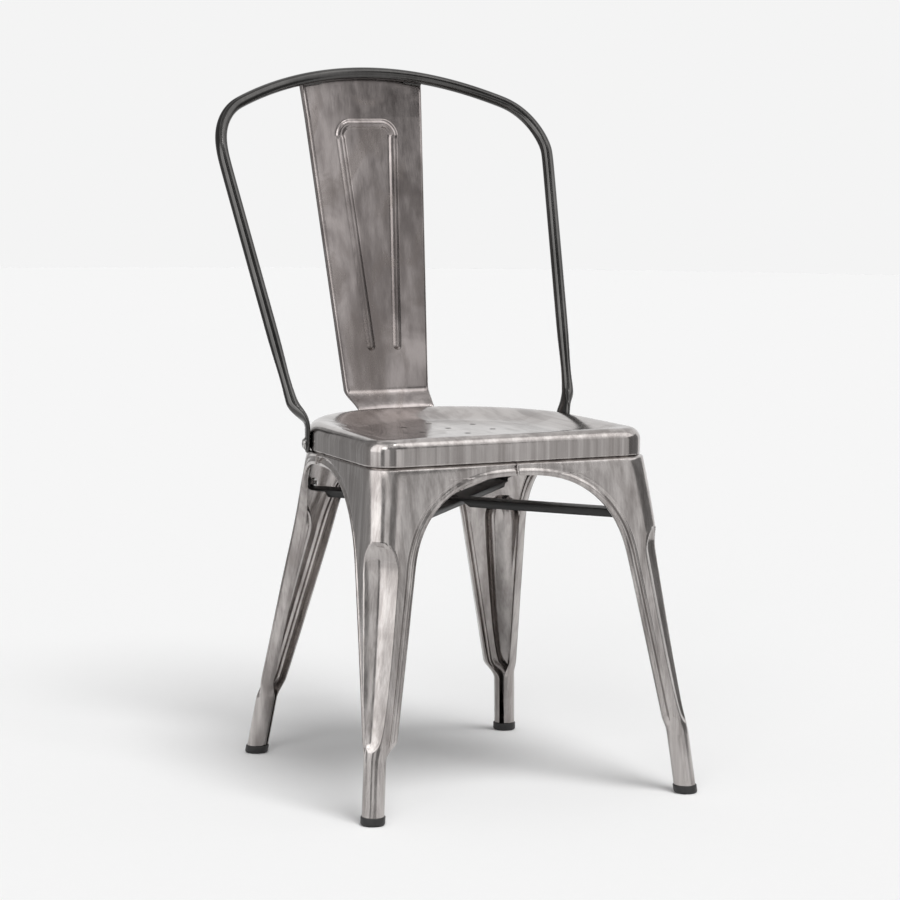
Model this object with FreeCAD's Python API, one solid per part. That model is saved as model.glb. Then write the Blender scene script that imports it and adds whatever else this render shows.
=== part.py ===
import FreeCAD, Part
import math
import os

from FreeCAD import Vector

# A stacking cafe chair of pressed sheet steel, in millimetres. +Z is up, the sitter
# faces -Y, and the origin is on the floor under the middle of the chair.

# Driving dimensions of the whole chair
total_height = 848.6
seat_rim_height = 430.0       # highest line of the seat's rolled rim
rim_rise = 14.0               # from the top of the flat skirt up to that line
skirt_height = 17.5           # of the flat skirt, down to the seam with the legs
dish_depth = 11.5             # of the flat middle under the rim
sheet = 1.3                   # steel sheet of seat and legs
piece_gap = 0.3               # clearance between neighbouring pieces

# Corners of the wall that legs and seat skirt follow, at the seam and on the floor.
# Each is where the straight walls would meet if the corner were sharp.
front_corner_seam_x = 180.0
front_corner_seam_y = -187.5
front_corner_floor_x = 218.3
front_corner_floor_y = -253.7
rear_corner_seam_x = 170.0
rear_corner_seam_y = 139.0
rear_corner_floor_x = 185.6
rear_corner_floor_y = 185.9
front_radius_seam = 33.0
rear_radius_seam = 162.0
leg_proud = 2.0               # how far the legs stand outside the skirt at the seam
front_bulge = 6.0             # how far the front wall swells out below the seam
rear_hollow = 3.0             # how far the rear corner is drawn in below the seam

# Lower legs, rolled into a tube
tube_radius = 13.0
tube_top_height = 70.0        # the roll is closed up to here
knee_height = 94.0            # the wings are fully open from here up
joggle_height = 3.0           # over this height the legs step in under the skirt
tube_seam_angle = 15.0        # half of the seam's opening, in degrees
leg_bottom_height = 3.5
rear_knee_inset = 8.0         # how far the rear tubes lean inwards up to the knee

# Arches between the legs
apron_height = 15.5           # from the seam down to the top of the arches
arch_rise = 105.0             # from where the arches spring up to their top
arch_squareness = 2.6
side_meeting_y = -20.0        # where front and rear leg are welded at the side
arch_edge_band = 8.5          # width of the border pressed inwards round each arch
arch_edge_drop = 1.3          # how far that border is pressed in
arch_lip = 3.5                # return lip behind the border
deep_arch_lip = 14.0          # deeper lip beside the side arches and the rear arch

# Half widths of the arch openings, each at its own height, and how much they
# narrow for each millimetre upwards
front_open_half = 173.5
front_open_height = 90.0
front_open_slope = 0.18
side_front_open_half = 144.0
side_front_open_height = 246.0
side_front_open_slope = 0.34
side_rear_open_half = 139.5
side_rear_open_height = 200.0
side_rear_open_slope = 0.28
rear_open_half = 99.0
rear_open_height = 268.0
rear_open_slope = 0.245

# Flute pressed into the outer corner of each leg
flute_tip_height = 84.0
flute_below_seam = 84.5       # the flute's top end
flute_head = 32.0             # from its widest place up to its top end
flute_half_width = 23.0
flute_depth = 14.0
flute_taper = 0.3
flute_fullness = 2.5          # 2 is a round trough, more is steeper at the sides
flute_shallowing = 1.3        # a narrower flute is shallower by this power

# Seat pan
rim_roll = 15.0               # how far the rim's crest lies inside the skirt
dish_slope_width = 56.0       # from the crest to the flat middle
leg_tuck = 12.0               # how far the legs reach up inside the skirt
drain_radius = 4.0
drain_circle = 54.0
drain_centre_y = -9.0
drain_count = 6

# Back hoop, a bent tube
hoop_tube_radius = 7.3
hoop_wall = 1.5
hoop_low_x = 189.8            # centre line of the straight sides, at hoop_low_z
hoop_low_rise = 50.0          # of hoop_low_z over the rim
hoop_side_lean = 6.95         # degrees outwards, seen from the front
hoop_crown_radius = 474.0
hoop_corner_radius = 66.0
hoop_recline = 0.447          # backwards for each millimetre upwards
hoop_y_at_rim = 24.6
hoop_bow = 32.5               # how far the crown bows back past the sides
hoop_bend_rise = 26.0         # below this height over the rim the tube turns in to the seat
hoop_foot_below_rim = 6.0     # top of the flattened foot
hoop_foot_below_seam = 5.5    # bottom of the flattened foot
hoop_foot_y = 19.0
hoop_foot_thickness = 5.5
hoop_foot_width = 23.0
hoop_bolt_rise = 6.0          # over the seam
hoop_bolt_radius = 3.0
hoop_side_steps = 6           # net rings along each straight side

# Back splat, a pressed strip between the seat and the crown of the hoop
splat_sheet = 1.5
splat_top_drop = 1.5          # its top lies this far under the hoop's centre line
splat_kink_rise = 20.0        # over the rim
splat_kink_y = 165.0
splat_top_clearance = 0.03    # between its top and the back of the hoop's crown
splat_curve = 0.0004          # how fast it curves forwards to its sides
splat_top_half = 83.5
splat_kink_half = 57.0
splat_foot_taper = 5.0
splat_foot_rise = 4.5         # lower edge of the flat foot over the seam
splat_foot_below_rim = 6.0    # upper end of the flat foot
splat_edge_fold = 7.7
splat_edge_radius = 4.0
splat_fold_rise = 20.0        # the folded edges grow out of the flat foot over this height
splat_bead_half_top = 37.0
splat_bead_half_foot = 18.0
splat_bead_below_crown = 63.3 # top of the bead under the hoop's crown
splat_bead_foot_rise = 53.0   # feet of the bead over the kink
splat_bead_corner = 16.0
splat_bead_width = 11.0
splat_bead_height = 2.6
splat_bolt_rise = 11.5        # over the seam
splat_bolt_spacing = 60.0
splat_bolt_radius = 2.5

# Cross brace under the seat, two channel bars that rise a little to the rear
brace_below_seam = 61.2       # its top at the crossing
brace_rise = 0.0243           # upwards for each millimetre backwards
brace_height = 9.5
brace_width = 25.0
brace_sheet = 2.0
brace_end_cut = 26.0          # the flanges stop this far from the ends
brace_tab_height = 13.0
brace_tab_width = 16.0
brace_setback = 1.8           # tabs stay this far off the legs' inner faces
brace_rivet_radius = 4.0
brace_stud_radius = 2.5

# Foot caps of black plastic
cap_radius = 14.2
cap_height = 10.0
cap_floor = 3.2
cap_edge = 2.0

# Fasteners
bolt_head_radius = 6.0
bolt_head_height = 2.6
nut_radius = 5.8
nut_height = 4.0
nut_seat_gap = 0.9            # nuts sit on a curved wall, so only their edges nearly touch
washer_radius = 7.2
washer_height = 1.0

# Weld beads over the joints between the legs
apron_weld_radius = 1.3
splat_weld_radius = 2.0
weld_clearance = 0.2
apron_weld_below = 4.0        # ends of the apron welds, under the seam
apron_weld_above = 2.0        # and over the top of the arch
splat_weld_start = 58.0
splat_weld_end = 78.0

# Heights that follow from the sizes above
skirt_top_height = seat_rim_height - rim_rise
seam_z = skirt_top_height - skirt_height
seat_dish_height = seat_rim_height - dish_depth
arch_top_height = seam_z - apron_height
arch_spring_height = arch_top_height - arch_rise
flute_top_height = seam_z - flute_below_seam
flute_wide_height = flute_top_height - flute_head
hoop_low_z = seat_rim_height + hoop_low_rise
hoop_bend_height = seat_rim_height + hoop_bend_rise
hoop_foot_top = seat_rim_height - hoop_foot_below_rim
hoop_foot_bottom = seam_z - hoop_foot_below_seam
hoop_bolt_height = seam_z + hoop_bolt_rise
splat_kink_z = seat_rim_height + splat_kink_rise
splat_foot_bottom = seam_z + splat_foot_rise
splat_foot_top = seat_rim_height - splat_foot_below_rim
splat_bead_foot_z = splat_kink_z + splat_bead_foot_rise
splat_bolt_height = seam_z + splat_bolt_rise
brace_top = seam_z - brace_below_seam
bore_reach = 2 * (bolt_head_height + nut_height)
crown_z = total_height - hoop_tube_radius
splat_bead_top_z = crown_z - splat_bead_below_crown
crown_y = hoop_y_at_rim + hoop_recline * (crown_z - seat_rim_height) + hoop_bow
splat_top_z = crown_z - splat_top_drop
splat_top_y = crown_y + hoop_tube_radius + splat_sheet + splat_top_clearance
splat_recline = (splat_top_y - splat_kink_y) / (splat_top_z - splat_kink_z)
mirror_plane = (Vector(0, 0, 0), Vector(1, 0, 0))


def mix(a, b, t):
    return a + (b - a) * t


def smooth(t):
    t = min(max(t, 0.0), 1.0)
    return t * t * (3 - 2 * t)


# Wall outline shared by seat skirt and legs


def corner(is_front, z):
    """Sharp corner (x, y) and radius of the right-hand wall at height z."""
    t = (seam_z - z) / seam_z
    swell = 4 * (math.sqrt(t) - t) if t > 0 else 0.0
    if is_front:
        x = mix(front_corner_seam_x, front_corner_floor_x, t)
        y = mix(front_corner_seam_y, front_corner_floor_y, t) - front_bulge * swell
        radius = mix(front_radius_seam, tube_radius, t)
    else:
        x = mix(rear_corner_seam_x, rear_corner_floor_x, t) - rear_hollow * swell
        y = mix(rear_corner_seam_y, rear_corner_floor_y, t) - rear_hollow * swell
        radius = mix(rear_radius_seam, tube_radius, t)
    return x, y, radius


def tube_axis(is_front, z):
    """Centre of the rolled tube of one leg at height z."""
    wall = WallCorner(is_front, z)
    inset = 0.0 if is_front else rear_knee_inset * z / knee_height
    return wall.sharp - wall.outward * (tube_radius / math.cos(wall.half_turn) + inset)


class WallCorner:
    """One rounded corner of the wall at one height.

    A place on it is s, the distance along the wall from the middle of the
    corner: negative towards the middle of the front or back, positive
    towards the middle of the side.
    """

    def __init__(self, is_front, z):
        x, y, self.radius = corner(is_front, z)
        other_x, other_y, _ = corner(not is_front, z)
        self.sharp = Vector(x, y, z)
        self.to_middle = Vector(-1, 0, 0)
        self.to_side = Vector(other_x - x, other_y - y, 0).normalize()
        turn = math.pi - self.to_middle.getAngle(self.to_side)
        self.half_turn = turn / 2
        self.half_arc = self.radius * self.half_turn
        self.tangent = self.radius * math.tan(self.half_turn)
        bisector = (self.to_middle + self.to_side).normalize()
        self.centre = self.sharp + bisector * (self.radius / math.cos(self.half_turn))
        self.outward = bisector * -1
        self.spin = 1 if is_front else -1

    def place(self, s):
        """Point on the wall and its outward normal."""
        beyond = abs(s) - self.half_arc
        angle = self.spin * min(max(s, -self.half_arc), self.half_arc) / self.radius
        normal = Vector(
            self.outward.x * math.cos(angle) - self.outward.y * math.sin(angle),
            self.outward.x * math.sin(angle) + self.outward.y * math.cos(angle),
            0,
        )
        point = self.centre + normal * self.radius
        if beyond > 0:
            point = point + (self.to_middle if s < 0 else self.to_side) * beyond
        return point, normal

    def reach_middle(self):
        """Distance from the corner's middle to the plane x = 0."""
        return self.half_arc + self.sharp.x - self.tangent

    def reach_side(self):
        """Distance from the corner's middle to the weld at the side."""
        return self.half_arc + abs(self.sharp.y - side_meeting_y) / abs(self.to_side.y) - self.tangent

    def s_at_y(self, y):
        """Place on the corner's arc that has this y (rear corner only)."""
        angle = math.asin((y - self.centre.y) / self.radius)
        ridge = math.atan2(self.outward.y, self.outward.x)
        return (ridge - angle) * self.radius


# Legs


def open_half(z, half, height, slope):
    """Half width of an arch opening at height z, rounded over at its top."""
    straight = half + slope * (height - z)
    rise = (z - arch_spring_height) / (arch_top_height - arch_spring_height)
    if rise <= 0:
        return straight
    if rise >= 1:
        return 0.0
    return straight * (1 - rise ** arch_squareness) ** (1 / arch_squareness)


def distance_to_arch(z, from_middle, half, height, slope):
    """Roughly how far a place on the wall lies outside the arch opening."""
    straight = half + slope * (height - z)
    rise = (z - arch_spring_height) / (arch_top_height - arch_spring_height)
    if rise <= 0:
        return from_middle - straight
    across = max(from_middle, 0.0) / straight
    level = rise ** arch_squareness + across ** arch_squareness - 1
    power = arch_squareness - 1
    slope_up = arch_squareness * rise ** power / (arch_top_height - arch_spring_height)
    slope_out = arch_squareness * across ** power / straight
    return level / math.hypot(slope_up, slope_out)


def flute_inset(s, z):
    """Depth of the flute pressed into the corner, at place s and height z."""
    if z <= flute_tip_height or z >= flute_top_height:
        return 0.0
    if z < flute_wide_height:
        share = (z - flute_tip_height) / (flute_wide_height - flute_tip_height)
        half = flute_half_width * share ** flute_taper
    else:
        share = (z - flute_wide_height) / (flute_top_height - flute_wide_height)
        half = flute_half_width * math.sqrt(1 - share * share)
    if abs(s) >= half:
        return 0.0
    depth = flute_depth * (half / flute_half_width) ** flute_shallowing
    return depth * (1 - (abs(s) / half) ** flute_fullness)


def leg_levels():
    """Heights of the leg's cross-sections, from the floor up."""
    levels = [leg_bottom_height]
    tube_steps = 4
    for step in range(1, tube_steps + 1):
        levels.append(mix(leg_bottom_height, tube_top_height, step / tube_steps))
    knee_steps = 4
    for step in range(1, knee_steps + 1):
        levels.append(mix(tube_top_height, knee_height, step / knee_steps))
    plain_steps = 9
    for step in range(1, plain_steps + 1):
        levels.append(mix(knee_height, arch_spring_height, step / plain_steps))
    arch_steps = 11
    for step in range(1, arch_steps + 1):
        angle = math.pi / 2 * step / arch_steps
        rise = math.sin(angle) ** (2 / arch_squareness)
        levels.append(mix(arch_spring_height, arch_top_height, rise))
    levels.append(arch_top_height + arch_edge_band / 2)
    levels.append(mix(arch_top_height + arch_edge_band / 2, seam_z - joggle_height, 0.5))
    levels.append(seam_z - joggle_height)
    levels.append(seam_z)
    levels.append(seam_z + leg_tuck / 3)
    levels.append(seam_z + leg_tuck)
    return levels


def leg_row(is_front, z):
    """Points across one leg at one height, from lip to lip, on its outside."""
    wall = WallCorner(is_front, z)
    # Outside the skirt the leg stands a little proud, inside it steps in by the sheet
    inside = smooth((z - seam_z + joggle_height) / joggle_height)
    proud = leg_proud * min(z / seam_z, 1.0)
    joggle = mix(-proud, sheet + piece_gap, inside)
    if is_front:
        middle_sizes = (front_open_half, front_open_height, front_open_slope)
        side_sizes = (side_front_open_half, side_front_open_height, side_front_open_slope)
    else:
        middle_sizes = (rear_open_half, rear_open_height, rear_open_slope)
        side_sizes = (side_rear_open_half, side_rear_open_height, side_rear_open_slope)
    reach_middle = wall.reach_middle()
    reach_side = wall.reach_side()
    middle_wing = reach_middle - max(open_half(z, *middle_sizes), piece_gap / 2)
    side_wing = reach_side - max(open_half(z, *side_sizes), piece_gap / 2)

    steps_out = [0.0, 3.2, arch_edge_band, arch_edge_band + 4]
    ridge_steps = 5
    wing_steps = 6
    border_share = 0.45
    arch_share = (z - arch_spring_height) / (arch_top_height - arch_spring_height)
    deep_lip = mix(deep_arch_lip, arch_lip, smooth(arch_share))
    middle_lip = arch_lip if is_front else deep_lip
    wings = []
    for width in (middle_wing, side_wing):
        # A narrow wing has its border columns closer together
        shrink = min(1.0, border_share * width / steps_out[-1])
        border_end = width - steps_out[-1] * shrink
        ridge = min(flute_half_width + 1, 0.8 * border_end)
        columns = [ridge * step / ridge_steps for step in range(1, ridge_steps + 1)]
        columns += [mix(ridge, border_end, step / wing_steps) for step in range(1, wing_steps)]
        columns += [width - step * shrink for step in reversed(steps_out)]
        wings.append(columns)
    places = [-place for place in reversed(wings[0])] + [0.0] + wings[1]

    outline = []
    for s in places:
        point, normal = wall.place(s)
        if s < 0:
            outside = distance_to_arch(z, reach_middle + s, *middle_sizes)
        else:
            outside = distance_to_arch(z, reach_side - s, *side_sizes)
        border = arch_edge_drop * (1 - smooth(outside / arch_edge_band))
        outline.append(point - normal * (border + flute_inset(s, z) + joggle))
        edge = outline[-1]
        if s == places[0]:
            outline = [edge - normal * middle_lip, edge - normal * (middle_lip / 2), edge]
        if s == places[-1]:
            outline.append(edge - normal * (deep_lip / 2))
            outline.append(edge - normal * deep_lip)

    # Below the knee the same strip of sheet is rolled up into a tube
    roll = 1 - smooth((z - tube_top_height) / (knee_height - tube_top_height))
    if roll == 0:
        return outline
    lengths = [0.0]
    for before, after in zip(outline, outline[1:]):
        lengths.append(lengths[-1] + before.distanceToPoint(after))
    full_turn = math.pi - math.radians(tube_seam_angle)
    start = math.atan2(wall.outward.y, wall.outward.x)
    axis = tube_axis(is_front, z)
    rolled = []
    for length, point in zip(lengths, outline):
        angle = start + wall.spin * full_turn * (2 * length / lengths[-1] - 1)
        on_tube = axis + Vector(math.cos(angle), math.sin(angle), 0) * tube_radius
        rolled.append(point + (on_tube - point) * roll)
    return rolled


def spline_knots(count, degree, closed):
    """Evenly spaced knots and their multiplicities for one direction of a net."""
    if closed:
        return list(range(count + 1)), [1] * (count + 1)
    inner = count - degree - 1
    return list(range(inner + 2)), [degree + 1] + [1] * inner + [degree + 1]


def skin(grid, closed=False):
    """Smooth face drawn over a net of points, closed round the columns or open."""
    degree = 3
    row_knots, row_repeats = spline_knots(len(grid), degree, False)
    column_knots, column_repeats = spline_knots(len(grid[0]), degree, closed)
    surface = Part.BSplineSurface()
    surface.buildFromPolesMultsKnots(grid, row_repeats, column_repeats, row_knots,
                                     column_knots, False, closed, degree, degree)
    return surface


def row_edge(surface, last):
    """Edge of a skin along its first or last row."""
    limits = surface.bounds()
    return surface.uIso(limits[1] if last else limits[0]).toShape()


def column_edge(surface, last):
    """Edge of an open skin along its first or last column."""
    limits = surface.bounds()
    return surface.vIso(limits[3] if last else limits[2]).toShape()


def closed_solid(faces):
    """Solid inside faces that meet at their edges."""
    shell = Part.makeShell(faces)
    shell.sewShape()
    solid = Part.makeSolid(shell)
    if solid.Volume < 0:
        solid.reverse()
    return solid


def shifted(grid, distance, closed=False):
    """The net moved against its normals."""
    rows = len(grid)
    columns = len(grid[0])
    moved = []
    for i in range(rows):
        row = []
        for j in range(columns):
            after = (j + 1) % columns if closed else min(j + 1, columns - 1)
            before = (j - 1) % columns if closed else max(j - 1, 0)
            along = grid[i][after] - grid[i][before]
            up = grid[min(i + 1, rows - 1)][j] - grid[max(i - 1, 0)][j]
            if i == 0 or i == rows - 1:
                up.x = 0
                up.y = 0
            if up.Length == 0:
                up = grid[i][j] - grid[i - 1][j]
            row.append(grid[i][j] - along.cross(up).normalize() * distance)
        moved.append(row)
    return moved


def sheet_solid(grid, thickness):
    """Thin solid between a net of points and its copy shifted along the normals."""
    front = skin(grid)
    back = skin(shifted(grid, thickness))
    faces = [front.toShape(), back.toShape()]
    for last in (False, True):
        faces.append(Part.makeRuledSurface(row_edge(front, last), row_edge(back, last)))
        faces.append(Part.makeRuledSurface(column_edge(front, last), column_edge(back, last)))
    return closed_solid(faces)


def rod_solid(rings):
    """Solid inside a row of closed rings with flat ends."""
    surface = skin(rings, closed=True)
    faces = [surface.toShape()]
    for last in (False, True):
        faces.append(Part.Face(Part.Wire(row_edge(surface, last))))
    return closed_solid(faces)


def make_leg(is_front):
    """Right-hand leg: corner, two wings that form half of each arch, and rolled foot."""
    grid = [leg_row(is_front, z) for z in leg_levels()]
    if not is_front:
        grid = [list(reversed(row)) for row in grid]
    return sheet_solid(grid, sheet)


def make_foot_cap(is_front):
    """Plastic cup that closes the rolled foot, flat on the floor."""

    def slice_at(z, radius):
        axis = tube_axis(is_front, z)
        return Part.Wire(Part.Circle(Vector(axis.x, axis.y, z), Vector(0, 0, 1), radius).toShape())

    cup = Part.makeLoft([
        slice_at(0, cap_radius - cap_edge),
        slice_at(cap_edge * 0.3, cap_radius - cap_edge * 0.3),
        slice_at(cap_edge, cap_radius),
        slice_at(cap_height, cap_radius),
    ], True, True)
    bore = Part.makeLoft([
        slice_at(cap_floor, tube_radius + piece_gap / 2),
        slice_at(cap_height + 1, tube_radius + piece_gap / 2),
    ], True, True)
    return cup.cut(bore)


# Seat pan


def seat_ring(z, inset, front_radius, rear_radius):
    """Closed ring of points of the seat, pulled in from the wall line by inset."""
    half = []
    front = Vector(front_corner_seam_x - inset, front_corner_seam_y + inset, z)
    rear = Vector(rear_corner_seam_x - inset, rear_corner_seam_y - inset, z)
    side = (rear - front).normalize()
    line_steps = 8
    corners = (
        (front, Vector(1, 0, 0), side, front_radius, 10),
        (rear, side, Vector(-1, 0, 0), rear_radius, 22),
    )
    last = Vector(0, front.y, z)
    for sharp, before, after, radius, arc_steps in corners:
        turn = before.getAngle(after)
        tangent = radius * math.tan(turn / 2)
        start = sharp - before * tangent
        for step in range(line_steps):
            half.append(last + (start - last) * (step / line_steps))
        centre = start + Vector(-before.y, before.x, 0) * radius
        spoke = start - centre
        for step in range(arc_steps):
            angle = turn * step / arc_steps
            half.append(centre + Vector(
                spoke.x * math.cos(angle) - spoke.y * math.sin(angle),
                spoke.x * math.sin(angle) + spoke.y * math.cos(angle),
                0,
            ))
        last = sharp + after * tangent
    half.append(last)
    half.append(Vector(0, rear.y, z))
    other = [Vector(-point.x, point.y, z) for point in reversed(half[1:-1])]
    return half + other


def seat_rings(thickness):
    """Rings from the skirt's lower edge over the rim to the flat middle."""
    rings = []
    skirt_steps = 4
    for step in range(skirt_steps + 1):
        rings.append((mix(seam_z, skirt_top_height, step / skirt_steps), 0.0, 1.0, 0.0))
    roll_steps = 6
    for step in range(1, roll_steps + 1):
        angle = math.pi / 2 * step / roll_steps
        z = mix(skirt_top_height, seat_rim_height, math.sin(angle))
        rings.append((z, rim_roll * (1 - math.cos(angle)), math.cos(angle), math.sin(angle)))
    dish_steps = 9
    for step in range(1, dish_steps + 1):
        share = step / dish_steps
        z = mix(seat_rim_height, seat_dish_height, smooth(share))
        rings.append((z, rim_roll + dish_slope_width * share, 0.0, 1.0))
    grid = []
    for z, inset, sideways, upwards in rings:
        moved_in = inset + thickness * sideways
        front_radius = max(front_radius_seam - moved_in, front_radius_seam / 2)
        rear_radius = rear_radius_seam - moved_in
        grid.append(seat_ring(z - thickness * upwards, moved_in, front_radius, rear_radius))
    return grid


def make_seat_pan():
    """Pressed pan with rolled rim, dished middle, skirt and drain holes."""
    top = skin(seat_rings(0.0), closed=True)
    under = skin(seat_rings(sheet), closed=True)
    faces = [top.toShape(), under.toShape()]
    faces.append(Part.makeRuledSurface(row_edge(top, False), row_edge(under, False)))
    for surface in (top, under):
        faces.append(Part.Face(Part.Wire(row_edge(surface, True))))
    pan = closed_solid(faces)
    centre = Vector(0, drain_centre_y, seat_dish_height - 5 * sheet)
    hole_centres = [centre]
    for index in range(drain_count):
        angle = math.radians(90 + 360 * index / drain_count)
        hole_centres.append(centre + Vector(math.cos(angle), math.sin(angle), 0) * drain_circle)
    for hole_centre in hole_centres:
        pan = pan.cut(Part.makeCylinder(drain_radius, 10 * sheet, hole_centre))
    for bore in hoop_bolt_bores() + splat_bolt_bores():
        pan = pan.cut(bore)
    return pan


# Back hoop


def skirt_place(y):
    """Point on the right side of the skirt at this y, and its outward normal."""
    wall = WallCorner(False, seam_z)
    return wall.place(wall.s_at_y(y))


def hoop_path():
    """Centre line of the right half of the hoop, from the crown down to the seat."""
    lean = math.radians(hoop_side_lean)
    crown_centre_z = crown_z - hoop_crown_radius
    # The corner arc touches the leaning side and the crown arc. Its centre is on a line
    # beside the straight side, at a known distance from the crown's centre.
    reach = hoop_crown_radius - hoop_corner_radius
    start_x = hoop_low_x - hoop_corner_radius * math.cos(lean)
    start_z = hoop_low_z + hoop_corner_radius * math.sin(lean) - crown_centre_z
    along_x = math.sin(lean)
    along_z = math.cos(lean)
    half_b = start_x * along_x + start_z * along_z
    rest = start_x ** 2 + start_z ** 2 - reach ** 2
    travel = -half_b + math.sqrt(half_b ** 2 - rest)
    corner_x = start_x + travel * along_x
    corner_z = start_z + travel * along_z + crown_centre_z
    crown_angle = math.atan2(corner_x, corner_z - crown_centre_z)

    flat_path = []
    crown_steps = 6
    for step in range(crown_steps):
        angle = crown_angle * step / crown_steps
        x = hoop_crown_radius * math.sin(angle)
        flat_path.append((x, crown_centre_z + hoop_crown_radius * math.cos(angle)))
    corner_steps = 8
    for step in range(corner_steps + 1):
        angle = mix(crown_angle, math.pi / 2 + lean, step / corner_steps)
        x = corner_x + hoop_corner_radius * math.sin(angle)
        flat_path.append((x, corner_z + hoop_corner_radius * math.cos(angle)))
    side_x, side_z = flat_path[-1]
    bent = len(flat_path)
    bend_x = hoop_low_x - (hoop_low_z - hoop_bend_height) * math.tan(lean)
    for step in range(1, hoop_side_steps + 1):
        share = step / hoop_side_steps
        flat_path.append((mix(side_x, bend_x, share), mix(side_z, hoop_bend_height, share)))
    path = []
    for index, (x, z) in enumerate(flat_path):
        y = hoop_y_at_rim + hoop_recline * (z - seat_rim_height)
        if index < bent:
            y += hoop_bow * math.sqrt(max(1 - (x / side_x) ** 2, 0.0))
        path.append(Vector(x, y, z))
    return path


def hoop_foot_centre(z):
    """Centre line of the flattened foot that lies on the skirt."""
    point, normal = skirt_place(hoop_foot_y)
    centre = point + normal * (piece_gap / 2 + hoop_foot_thickness / 2)
    return Vector(centre.x, centre.y, z), normal


def oval(centre, along, across, length, width):
    """Ring of points round an oval that lies in the plane of along and across."""
    steps = 16
    # A smooth skin runs a little inside its net, so the ring is drawn larger by that share
    outwards = 3 / (2 + math.cos(2 * math.pi / steps))
    squareness = 1 - 0.25 * (1 - width / length)
    points = []
    for step in range(steps):
        angle = 2 * math.pi * step / steps
        c = math.cos(angle)
        w = math.sin(angle)
        reach_along = math.copysign(abs(c) ** squareness, c) * length / 2 * outwards
        reach_across = math.copysign(abs(w) ** squareness, w) * width / 2 * outwards
        points.append(centre + along * reach_along + across * reach_across)
    return points


def hoop_stations():
    """Places along the right half of the hoop: centre, length and width of the section."""
    half = hoop_path()
    round_size = 2 * hoop_tube_radius
    stations = [(point, round_size, round_size) for point in half]
    end = half[-1]
    end_direction = (half[-1] - half[-2]).normalize()
    foot_top, _ = hoop_foot_centre(hoop_foot_top)
    pull = (end.z - foot_top.z) * 0.45
    leave = end + end_direction * pull
    arrive = foot_top + Vector(0, 0, pull)
    bend_steps = 7
    for step in range(1, bend_steps + 1):
        t = step / bend_steps
        centre = end * (1 - t) ** 3 + leave * 3 * t * (1 - t) ** 2
        centre = centre + arrive * 3 * t * t * (1 - t) + foot_top * t ** 3
        flatten = smooth(t * 1.15 - 0.15)
        length = mix(round_size, hoop_foot_width, flatten)
        width = mix(round_size, hoop_foot_thickness, flatten)
        stations.append((centre, length, width))
    foot_steps = 5
    for step in range(1, foot_steps + 1):
        share = step / foot_steps
        centre, _ = hoop_foot_centre(mix(hoop_foot_top, hoop_foot_bottom, share))
        rounding = math.sqrt(1 - (0.9 * max(share * 2 - 1, 0.0)) ** 2)
        stations.append((centre, hoop_foot_width * rounding, hoop_foot_thickness))
    return stations


def hoop_rod(wall, whole):
    """Solid rod along the hoop, thinner by wall. Whole, it runs out to the flat feet."""
    stations = hoop_stations()
    if not whole:
        stations = stations[:len(hoop_path())]
    left = [(Vector(-centre.x, centre.y, centre.z), length, width)
            for centre, length, width in reversed(stations[1:])]
    stations = left + stations
    _, foot_normal = skirt_place(hoop_foot_y)
    rings = []
    for index, (centre, length, width) in enumerate(stations):
        before = stations[max(index - 1, 0)][0]
        after = stations[min(index + 1, len(stations) - 1)][0]
        direction = (after - before).normalize()
        side = math.copysign(1, centre.x) if abs(centre.x) > 1 else 0
        outward = Vector(side * foot_normal.x, foot_normal.y, 0)
        # The flat feet face the skirt; on the crown the section just follows the bend
        hint = mix(Vector(0, 1, 0), outward, smooth((hoop_low_z - centre.z) / 60 + 0.3))
        across = (hint - direction * hint.dot(direction)).normalize()
        along = direction.cross(across)
        rings.append(oval(centre, along, across, length - 2 * wall, width - 2 * wall))
    return rod_solid(rings)


def make_back_hoop():
    """One bent tube from seat side to seat side, with flattened feet."""
    hoop = hoop_rod(0.0, True).cut(hoop_rod(hoop_wall, False))
    for bore in hoop_bolt_bores():
        hoop = hoop.cut(bore)
    return hoop


def hoop_bolt_frame(side):
    """Centre on the skirt and outward direction of one hoop bolt."""
    point, normal = skirt_place(hoop_foot_y)
    return Vector(side * point.x, point.y, hoop_bolt_height), Vector(side * normal.x, normal.y, 0)


def hoop_bolt_bores():
    bores = []
    for side in (-1, 1):
        centre, normal = hoop_bolt_frame(side)
        start = centre - normal * bore_reach
        bores.append(Part.makeCylinder(hoop_bolt_radius + piece_gap, 2 * bore_reach, start, normal))
    return bores


# Back splat


def splat_half(z):
    slope = (splat_top_half - splat_kink_half) / (splat_top_z - splat_kink_z)
    if z > splat_kink_z:
        return splat_kink_half + slope * (z - splat_kink_z)
    return splat_kink_half - splat_foot_taper * smooth((splat_kink_z - z) / (splat_kink_z - splat_foot_top))


def rear_wall_y(x):
    """y of the skirt's back at this x."""
    wall = WallCorner(False, seam_z)
    offset = max(abs(x) - wall.centre.x, 0.0)
    return wall.centre.y + math.sqrt(wall.radius ** 2 - offset ** 2)


def bead_height(x, z):
    """Height of the raised bead, an upside-down U, on the front of the splat."""
    share = (z - splat_bead_foot_z) / (splat_bead_top_z - splat_bead_foot_z)
    leg_x = mix(splat_bead_half_foot, splat_bead_half_top, share)
    corner_z = splat_bead_top_z - splat_bead_corner
    if z > corner_z:
        leg_top = splat_bead_half_top - splat_bead_corner
        away = math.hypot(max(abs(x) - leg_top, 0.0), z - corner_z)
        distance = abs(away - splat_bead_corner)
        if abs(x) < leg_top:
            distance = abs(splat_bead_top_z - z)
    elif z > splat_bead_foot_z:
        distance = abs(abs(x) - leg_x)
    else:
        distance = math.hypot(abs(x) - splat_bead_half_foot, z - splat_bead_foot_z)
    return splat_bead_height * (1 - smooth(distance / (splat_bead_width / 2)))


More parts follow.
